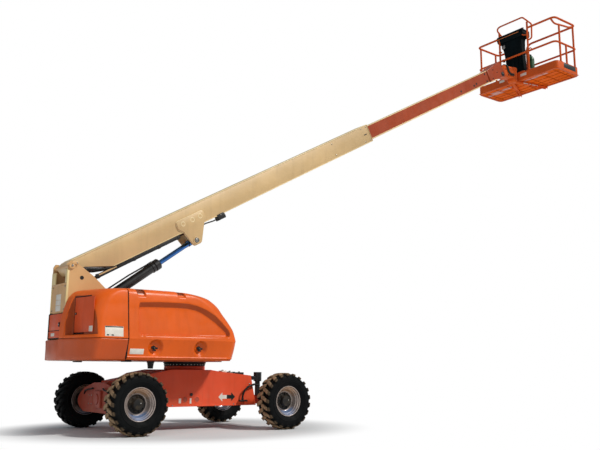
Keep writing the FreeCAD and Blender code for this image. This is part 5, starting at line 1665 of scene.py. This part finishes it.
def add_console():
    """The platform's control stand: a body that widens to a slanted head, with levers, guards and a lamp."""
    low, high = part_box("control_console")
    front = low.x
    base, top = low.z, high.z
    box = Shape()

    def ring(x0, x1, y0, y1, z, corner=0.03, rise=0.0):
        loop = ring_of(Vector((x0, y0, 0)), Vector((x1, y1, 0)), 0.0, corner, z, 4)
        return [Vector((p.x, p.y, p.z + rise * (x1 - p.x) / (x1 - x0))) for p in loop]

    # front and back from the stand's face, right and left edge, height
    box.stack([ring(front + x0, front + x1, y0, y1, base + z) for x0, x1, y0, y1, z in (
        (0.02, 0.15, -0.186, 0.285, 0.24), (0.018, 0.156, -0.19, 0.294, 0.28),
        (0.015, 0.16, -0.172, 0.318, 0.53), (0.01, 0.17, -0.16, 0.355, 0.82),
        (0.006, 0.18, -0.16, 0.405, 0.99), (0.004, 0.2, -0.17, 0.44, 1.08))])
    box.block((front + 0.03, -0.17, base), (front + 0.15, 0.2, base + 0.27), 0.012)
    # ribs and recess on the outer face
    for y in (-0.135, -0.04, 0.07, 0.18):
        box.block((front + 0.006, y - 0.01, base + 0.34), (front + 0.02, y + 0.01, base + 0.96), 0.005)
    box.block((front, -0.155, base + 0.58), (front + 0.02, 0.3, base + 0.605), 0.006)
    box.block((front - 0.004, -0.2, base + 0.16), (front + 0.05, 0.2, base + 0.21), 0.008, finish=3)
    box.tube([(front - 0.012, -0.2, top - 0.19), (front - 0.006, -0.24, top - 0.22),
              (front + 0.02, -0.33, top - 0.235)], 0.012, 3, 10)
    top -= 0.04
    # the same for the head, with its corner radius and how far the outer edge is raised
    head = [ring(front + x0, front + x1, y0, y1, top + z, *rest) for x0, x1, y0, y1, z, *rest in (
        (-0.01, 0.25, -0.226, 0.49, -0.175, 0.035, 0.0), (-0.03, 0.264, -0.232, 0.508, -0.15, 0.035, 0.0),
        (-0.046, 0.264, -0.232, 0.516, -0.1, 0.035, 0.0), (-0.046, 0.264, -0.232, 0.516, -0.074, 0.035, 0.0),
        (-0.034, 0.264, -0.23, 0.512, -0.07, 0.03, 0.0), (-0.034, 0.264, -0.23, 0.512, -0.058, 0.03, 0.0),
        (-0.05, 0.264, -0.232, 0.518, -0.054, 0.035, 0.0),
        (-0.05, 0.264, -0.232, 0.518, -0.026, 0.035, 0.012),
        (-0.036, 0.252, -0.22, 0.504, -0.01, 0.035, 0.014))]
    box.stack(head)
    box.block((front - 0.049, -0.13, top - 0.072), (front - 0.03, 0.49, top - 0.057), 0.003, finish=6)
    deck_z = top - 0.006
    for x, y in ((front + 0.1, -0.16), (front + 0.1, 0.1), (front + 0.17, 0.34)):
        boot = Matrix.Translation((x, y, deck_z))
        box.turned([(0.0, 0.0), (0.034, 0.0), (0.03, 0.008), (0.032, 0.014), (0.024, 0.02), (0.026, 0.026),
                    (0.014, 0.034), (0.009, 0.04), (0.009, 0.05), (0.017, 0.056), (0.018, 0.074),
                    (0.01, 0.082), (0.0, 0.084)], boot, 28, 1)
    for i in range(7):
        y = -0.12 + i * 0.085
        box.bar((front + 0.2, y, deck_z - 0.004), (front + 0.2, y, deck_z + 0.01), 0.013, 1, 0.002, 20)
        box.bar((front + 0.2, y, deck_z + 0.006), (front + 0.204, y, deck_z + 0.034), 0.004, 2, 0.001, 12)
    box.bar((front + 0.02, -0.185, deck_z), (front + 0.02, -0.185, deck_z + 0.02), 0.026, 1, 0.003, 28)
    box.bar((front + 0.02, -0.185, deck_z + 0.018), (front + 0.02, -0.185, deck_z + 0.036), 0.021, 4, 0.004, 28)
    box.hose([(front + 0.24, -0.19, deck_z - 0.01), (front + 0.255, -0.19, deck_z + 0.045),
              (front + 0.255, 0.46, deck_z + 0.045), (front + 0.24, 0.46, deck_z - 0.01)], 0.03, 0.009, 3)
    box.block((front - 0.012, 0.3, base + 0.93), (front + 0.012, 0.4, base + 1.02), 0.01, finish=2)
    box.bar((front, 0.4, base + 0.86), (front - 0.05, 0.46, base + 0.86), 0.02, 3, 0.004, 24)
    box.hose([(front + 0.06, -0.1, base + 0.3), (front - 0.01, -0.16, base + 0.14),
              (front + 0.02, -0.24, base + 0.06), (front + 0.1, -0.26, base + 0.02)], 0.05, 0.014, 5, steps=8)
    box.finish("control_stand", "platform", ["console", "grip", "steel", "cage", "lamp_red", "hose_green",
            "strip"], "black_plastic", ["control_console"], 40)


# ---------------------------------------------------------------- chassis
def add_chassis_details():
    """Tie-down rings, bolts, hoses, blank plates and arrows on the frame, and the rear axle's fittings."""
    low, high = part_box("chassis_sides")
    half = high.y
    parts = Shape()
    for out in (-1, 1):
        for x in (-0.216, -0.018):
            ring = outward((x, out * half, 0.44), out)
            parts.turned([(0.036, -0.02), (0.036, 0.004), (0.042, 0.005), (0.046, 0.003), (0.048, 0.0)], ring,
                         36, 0)
            parts.turned([(0.0, 0.002), (0.036, 0.002), (0.037, -0.006), (0.0, -0.008)], ring, 24, 6)
        for x, z in ((-0.62, 0.4), (-0.42, 0.36), (0.3, 0.34), (0.62, 0.36), (0.86, 0.4), (0.9, 0.66)):
            parts.bolt((x, out * half, z), Y * out, 0.01, 2)
        # flange along the lower edge
        parts.beside(out, (low.x + 0.01, half, low.z), (0.98, half + 0.006, low.z + 0.02), 0.002)
        loop = [Vector((x, out * y, z)) for x, y, z in ((0.752, 0.492, 0.45), (0.754, 0.5, 0.5),
                (0.775, 0.505, 0.556), (0.845, 0.505, 0.622), (0.96, 0.5, 0.655), (1.08, 0.46, 0.64))]
        parts.hose(loop, 0.09, 0.0155, 3, 14, steps=8)
        parts.beside(out, (0.7, 0.462, 0.398), (0.835, 0.512, 0.422), 0.006, 1)
        parts.bar((0.748, out * 0.496, 0.415), (0.752, out * 0.496, 0.452), 0.02, 1, 0.003, 6)
        parts.bar((-0.12, out * half, 0.512), (-0.12, out * (half + 0.022), 0.512), 0.022, 1, 0.003, 24)
        for x, z, wide, tall in ((-0.3, 0.424, 0.02, 0.034), (-0.124, 0.42, 0.014, 0.038)):
            parts.beside(out, (x - wide, half, z - tall), (x + wide, half + 0.0015, z + tall), 0.0006, 4)
        for x, z, wide, tall, finish in ((0.5, 0.83, 0.045, 0.03, 4), (0.63, 0.822, 0.03, 0.024, 2),
                (0.8, 0.806, 0.06, 0.03, 1)):
            parts.block((x - wide, out * 0.3 - 0.05, z - 0.03), (x + wide, out * 0.3 + 0.05, z + tall), 0.008,
                        finish=finish)
            parts.bar((x, out * 0.3, z + tall - 0.004), (x, out * 0.3, z + tall + 0.012), 0.016, 2, 0.003, 6)
    # blank double arrow on each side
    arrow = [(-0.148, 0.0), (-0.078, 0.066), (-0.078, 0.028), (0.0, 0.028), (0.0, -0.028), (-0.078, -0.028),
             (-0.078, -0.066)]
    for out in (-1, 1):
        place = Matrix.Translation((0.495, out * half, 0.47)) @ aligned(X * -out, Z, Y * out)
        parts.plate(arrow, 0.0015, place, 0.0003, 4, 1)
        parts.plate([(-x, y) for x, y in reversed(arrow)], 0.0015, place, 0.0003, 5, 1)
    parts.finish("chassis_fittings", "chassis", ["chassis", "black", "steel", "hose", "plate", "plate_dark",
            "axle"], "red_orange")

    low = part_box("rear_axle")[0]
    hub_x, hub_z = -1.21, 0.4165
    axle = Shape()
    for out in (-1, 1):
        axle.bar((hub_x, out * 0.715, hub_z), (hub_x, out * 0.735, hub_z), 0.165, 0, 0.006, 48)
        for i in range(12):
            a = math.tau * i / 12
            axle.bolt((hub_x + 0.145 * math.cos(a), out * 0.732, hub_z + 0.145 * math.sin(a)), Y * out, 0.01, 1)
        axle.block((low.x - 0.004, out * 0.3 - 0.07, 0.36), (low.x + 0.01, out * 0.3 + 0.07, 0.52), 0.004)
        for z in (0.38, 0.5):
            for y in (-0.05, 0.05):
                axle.bolt((low.x - 0.002, out * 0.3 + y, z), -X, 0.01, 1)
    axle.block((low.x - 0.035, -0.12, 0.33), (low.x + 0.01, 0.12, 0.57), 0.012)
    axle.bar((low.x - 0.05, 0, 0.45), (low.x, 0, 0.45), 0.075, 0, 0.006, 40)
    for out in (-1, 1):
        route = [(low.x - 0.02, out * 0.18, 0.6), (low.x - 0.05, out * 0.3, 0.58),
                 (low.x - 0.03, out * 0.45, 0.56), (low.x + 0.02, out * 0.6, 0.5)]
        axle.hose(route, 0.1, 0.012, 2, 10)
    axle.block((low.x - 0.003, -0.62, 0.47), (low.x + 0.002, -0.53, 0.53), 0.001, finish=3)
    axle.finish("rear_axle_fittings", "chassis", ["axle", "steel", "hose", "plate"], "red_orange")


def add_stage():
    """A pale floor that fades into white, soft light from the right and front, and the camera."""
    scene = bpy.context.scene
    floor = bmesh.new()
    bmesh.ops.create_circle(floor, cap_ends=True, segments=96, radius=90)
    data = bpy.data.meshes.new("studio_floor")
    floor.to_mesh(data)
    floor.free()
    ground = bpy.data.objects.new("studio_floor", data)
    scene.collection.objects.link(ground)
    g = Graph("studio_floor")
    g.shader.inputs["Roughness"].default_value = 0.9
    base = g.mix(g.mottle((0.3, 0.0), (0.7, 1.0), 0.6, 3, 0.5), (0.64, 0.66, 0.68, 1), (0.68, 0.7, 0.72, 1))
    g.paint(base)
    g.set(specular_ior_level=0.1)
    white = g.add("ShaderNodeEmission", Strength=1.0)
    path = g.add("ShaderNodeLightPath")
    seen = g.add("ShaderNodeMath", operation="ADD", use_clamp=True)
    g.link(path, "Is Camera Ray", seen, 0)
    g.link(path, "Is Glossy Ray", seen, 1)
    seen_too = g.add("ShaderNodeMath", operation="ADD", use_clamp=True)
    g.link(seen, "Value", seen_too, 0)
    g.link(path, "Is Transmission Ray", seen_too, 1)
    distance = g.add("ShaderNodeVectorMath", operation="LENGTH")
    squeeze = g.add("ShaderNodeMapping")
    squeeze.inputs["Scale"].default_value = (1 / 3.2, 1 / 2.6, 1)
    g.link(g.place, "Object", squeeze, "Vector")
    g.link(squeeze, "Vector", distance, 0)
    fade = g.ramp(distance, "Value", ((0.62, 0.0), (1.0, 1.0)))
    blend = g.multiply(seen_too, fade)
    mixed = g.add("ShaderNodeMixShader")
    g.link(blend, "Value", mixed, "Fac")
    g.tree.links.new(g.shader.outputs["BSDF"], mixed.inputs[1])
    g.tree.links.new(white.outputs["Emission"], mixed.inputs[2])
    g.link(mixed, "Shader", g.output, "Surface")
    data.materials.append(g.material)

    world = bpy.data.worlds.new("studio")
    world.use_nodes = True
    scene.world = world
    tree = world.node_tree
    tree.nodes.clear()
    out = tree.nodes.new("ShaderNodeOutputWorld")
    lit = tree.nodes.new("ShaderNodeBackground")
    lit.inputs["Color"].default_value = (0.93, 0.96, 1.0, 1)
    lit.inputs["Strength"].default_value = 0.36
    clear = tree.nodes.new("ShaderNodeBackground")
    clear.inputs["Color"].default_value = (1, 1, 1, 1)
    clear.inputs["Strength"].default_value = 1.0
    mix = tree.nodes.new("ShaderNodeMixShader")
    ray = tree.nodes.new("ShaderNodeLightPath")
    either = tree.nodes.new("ShaderNodeMath")
    either.operation = "MAXIMUM"
    tree.links.new(ray.outputs["Is Camera Ray"], either.inputs[0])
    tree.links.new(ray.outputs["Is Transmission Ray"], either.inputs[1])
    tree.links.new(either.outputs[0], mix.inputs[0])
    tree.links.new(lit.outputs[0], mix.inputs[1])
    tree.links.new(clear.outputs[0], mix.inputs[2])
    tree.links.new(mix.outputs[0], out.inputs[0])

    sun = bpy.data.lights.new("key", "SUN")
    sun.energy = 2.5
    sun.angle = math.radians(7)
    sun.color = (1.0, 0.965, 0.91)
    lamp = bpy.data.objects.new("key", sun)
    lamp.matrix_world = Vector((0.42, -0.6, 0.68)).to_track_quat("Z", "Y").to_matrix().to_4x4()
    scene.collection.objects.link(lamp)
    soft = bpy.data.lights.new("fill", "AREA")
    soft.energy = 180
    soft.shape = "DISK"
    soft.size = 9
    lamp = bpy.data.objects.new("fill", soft)
    spot = Vector((-9, -9, 7))
    aim = (spot - Vector((0, 0, 1.5))).to_track_quat("Z", "Y").to_matrix().to_4x4()
    lamp.matrix_world = Matrix.Translation(spot) @ aim
    scene.collection.objects.link(lamp)

    camera = bpy.data.cameras.new("camera")
    camera.lens, camera.sensor_width = 45.34, 36
    camera.clip_end = 400
    eye = bpy.data.objects.new("camera", camera)
    yaw, pitch, roll = math.radians(36.93), math.radians(10.78), math.radians(0.42)
    ahead = Vector((math.sin(yaw) * math.cos(pitch), math.cos(yaw) * math.cos(pitch), math.sin(pitch)))
    level = Vector((math.cos(yaw), -math.sin(yaw), 0))
    above = level.cross(ahead)
    across = level * math.cos(roll) + above * math.sin(roll)
    above = above * math.cos(roll) - level * math.sin(roll)
    eye.matrix_world = Matrix.Translation((-5.689, -10.495, 0.894)) @ aligned(across, above, -ahead)
    scene.collection.objects.link(eye)
    scene.camera = eye
    scene.view_settings.view_transform = "Standard"


# finishes of the CAD nodes that show as they are
node_finishes = {
    "mast_cheeks": "mast", "mast_ties": "mast", "deck": "counterweight", "chassis_sides": "chassis",
    "chassis_spine": "chassis", "rear_axle": "axle", "rear_hubs": "cast", "front_axle": "axle",
    "lockout_cylinders": "black", "knuckle_left": "cast", "knuckle_right": "cast", "tie_rod": "black",
    "steer_barrel": "black", "steer_rod": "rod", "fly_boom": "fly", "boom_nose": "fly",
    "platform_support": "cage",}


def dress_nodes():
    """Give each kept CAD node its finish."""
    for node, key in node_finishes.items():
        data = frame["nodes"][node].data
        data.materials.clear()
        data.materials.append(finishes[key])


# ---------------------------------------------------------------- operators
CORNERS = ("front_left", "front_right", "rear_left", "rear_right")


class BOOMLIFT_OT_finishes(bpy.types.Operator):
    """Make every paint, rubber, plastic and metal, and dress the frame's own parts in them"""

    bl_idname = "boomlift.finishes"
    bl_label = "Finishes"

    def execute(self, context):
        make_finishes(context.scene.boomlift_colours)
        dress_nodes()
        return {"FINISHED"}


class BOOMLIFT_OT_wheels(bpy.types.Operator):
    """Tyres with chevron lugs on deep rims"""

    bl_idname = "boomlift.wheels"
    bl_label = "Wheels"

    def execute(self, context):
        for corner in CORNERS:
            add_tyre(corner, context.scene.boomlift_sizes)
            add_rim(corner, context.scene.boomlift_sizes)
        return {"FINISHED"}


class BOOMLIFT_OT_hoods(bpy.types.Operator):
    """Moulded hoods with their recessed panels, latch dishes and hinge pockets"""

    bl_idname = "boomlift.hoods"
    bl_label = "Hoods"

    def execute(self, context):
        for side in ("left", "right"):
            add_hood(side, context.scene.boomlift_sizes)
        return {"FINISHED"}


class BOOMLIFT_OT_tail(bpy.types.Operator):
    """Tail covers, counterweight, mast closure and the ground controls door"""

    bl_idname = "boomlift.tail"
    bl_label = "Tail"

    def execute(self, context):
        for side in ("left", "right"):
            add_cover(side, context.scene.boomlift_sizes)
        add_counterweight()
        add_tail_centre()
        add_door_trim()
        return {"FINISHED"}


class BOOMLIFT_OT_turntable(bpy.types.Operator):
    """Mast trim, body fittings, engine bay and slew ring"""

    bl_idname = "boomlift.turntable"
    bl_label = "Turntable"

    def execute(self, context):
        add_mast_trim()
        add_body_fittings()
        add_engine_bay()
        add_slew_ring()
        return {"FINISHED"}


class BOOMLIFT_OT_booms(bpy.types.Operator):
    """Base boom, lift lugs, lines, fly boom and nose"""

    bl_idname = "boomlift.booms"
    bl_label = "Booms"

    def execute(self, context):
        add_base_boom_trim()
        add_lift_lugs()
        add_boom_lines()
        add_fly_trim()
        add_nose_trim()
        return {"FINISHED"}


class BOOMLIFT_OT_lift_cylinder(bpy.types.Operator):
    """Lift cylinder with its gland, port tube and rod"""

    bl_idname = "boomlift.lift_cylinder"
    bl_label = "Lift cylinder"

    def execute(self, context):
        add_lift_cylinder()
        return {"FINISHED"}


class BOOMLIFT_OT_platform(bpy.types.Operator):
    """Platform support, floor, arms, rails, gate and control stand"""

    bl_idname = "boomlift.platform"
    bl_label = "Platform"

    def execute(self, context):
        add_support_trim()
        add_platform_floor(context.scene.boomlift_sizes)
        add_arms_trim()
        add_rails(context.scene.boomlift_sizes)
        add_console()
        return {"FINISHED"}


class BOOMLIFT_OT_chassis(bpy.types.Operator):
    """Hoses, bolts, rings and blank arrows on the chassis and rear axle"""

    bl_idname = "boomlift.chassis"
    bl_label = "Chassis"

    def execute(self, context):
        add_chassis_details()
        return {"FINISHED"}


class BOOMLIFT_OT_stage(bpy.types.Operator):
    """Floor, light and camera"""

    bl_idname = "boomlift.stage"
    bl_label = "Stage"

    def execute(self, context):
        add_stage()
        return {"FINISHED"}


OPERATORS = (BOOMLIFT_OT_stage, BOOMLIFT_OT_finishes, BOOMLIFT_OT_wheels, BOOMLIFT_OT_hoods, BOOMLIFT_OT_tail,
             BOOMLIFT_OT_turntable, BOOMLIFT_OT_booms, BOOMLIFT_OT_lift_cylinder, BOOMLIFT_OT_platform,
             BOOMLIFT_OT_chassis)


class BOOMLIFT_PT_parts(bpy.types.Panel):
    """Lists the sizes, the colours and each step of the build"""

    bl_idname = "BOOMLIFT_PT_parts"
    bl_label = "Telescopic boom lift"
    bl_space_type = "VIEW_3D"
    bl_region_type = "UI"
    bl_category = "Boom Lift"

    def draw(self, context):
        layout = self.layout
        for group in (context.scene.boomlift_sizes, context.scene.boomlift_colours):
            box = layout.box()
            for key in group.__class__.__annotations__:
                box.prop(group, key)
        for operator in OPERATORS:
            layout.operator(operator.bl_idname)


CLASSES = (BoomLiftColours, BoomLiftSizes) + OPERATORS + (BOOMLIFT_PT_parts,)


def register():
    for part in CLASSES:
        bpy.utils.register_class(part)
    bpy.types.Scene.boomlift_colours = PointerProperty(type=BoomLiftColours)
    bpy.types.Scene.boomlift_sizes = PointerProperty(type=BoomLiftSizes)


def unregister():
    del bpy.types.Scene.boomlift_sizes
    del bpy.types.Scene.boomlift_colours
    for part in reversed(CLASSES):
        bpy.utils.unregister_class(part)


def main():
    register()
    for operator in OPERATORS:
        group, name = operator.bl_idname.split(".")
        getattr(getattr(bpy.ops, group), name)()


if __name__ == "__main__":
    main()
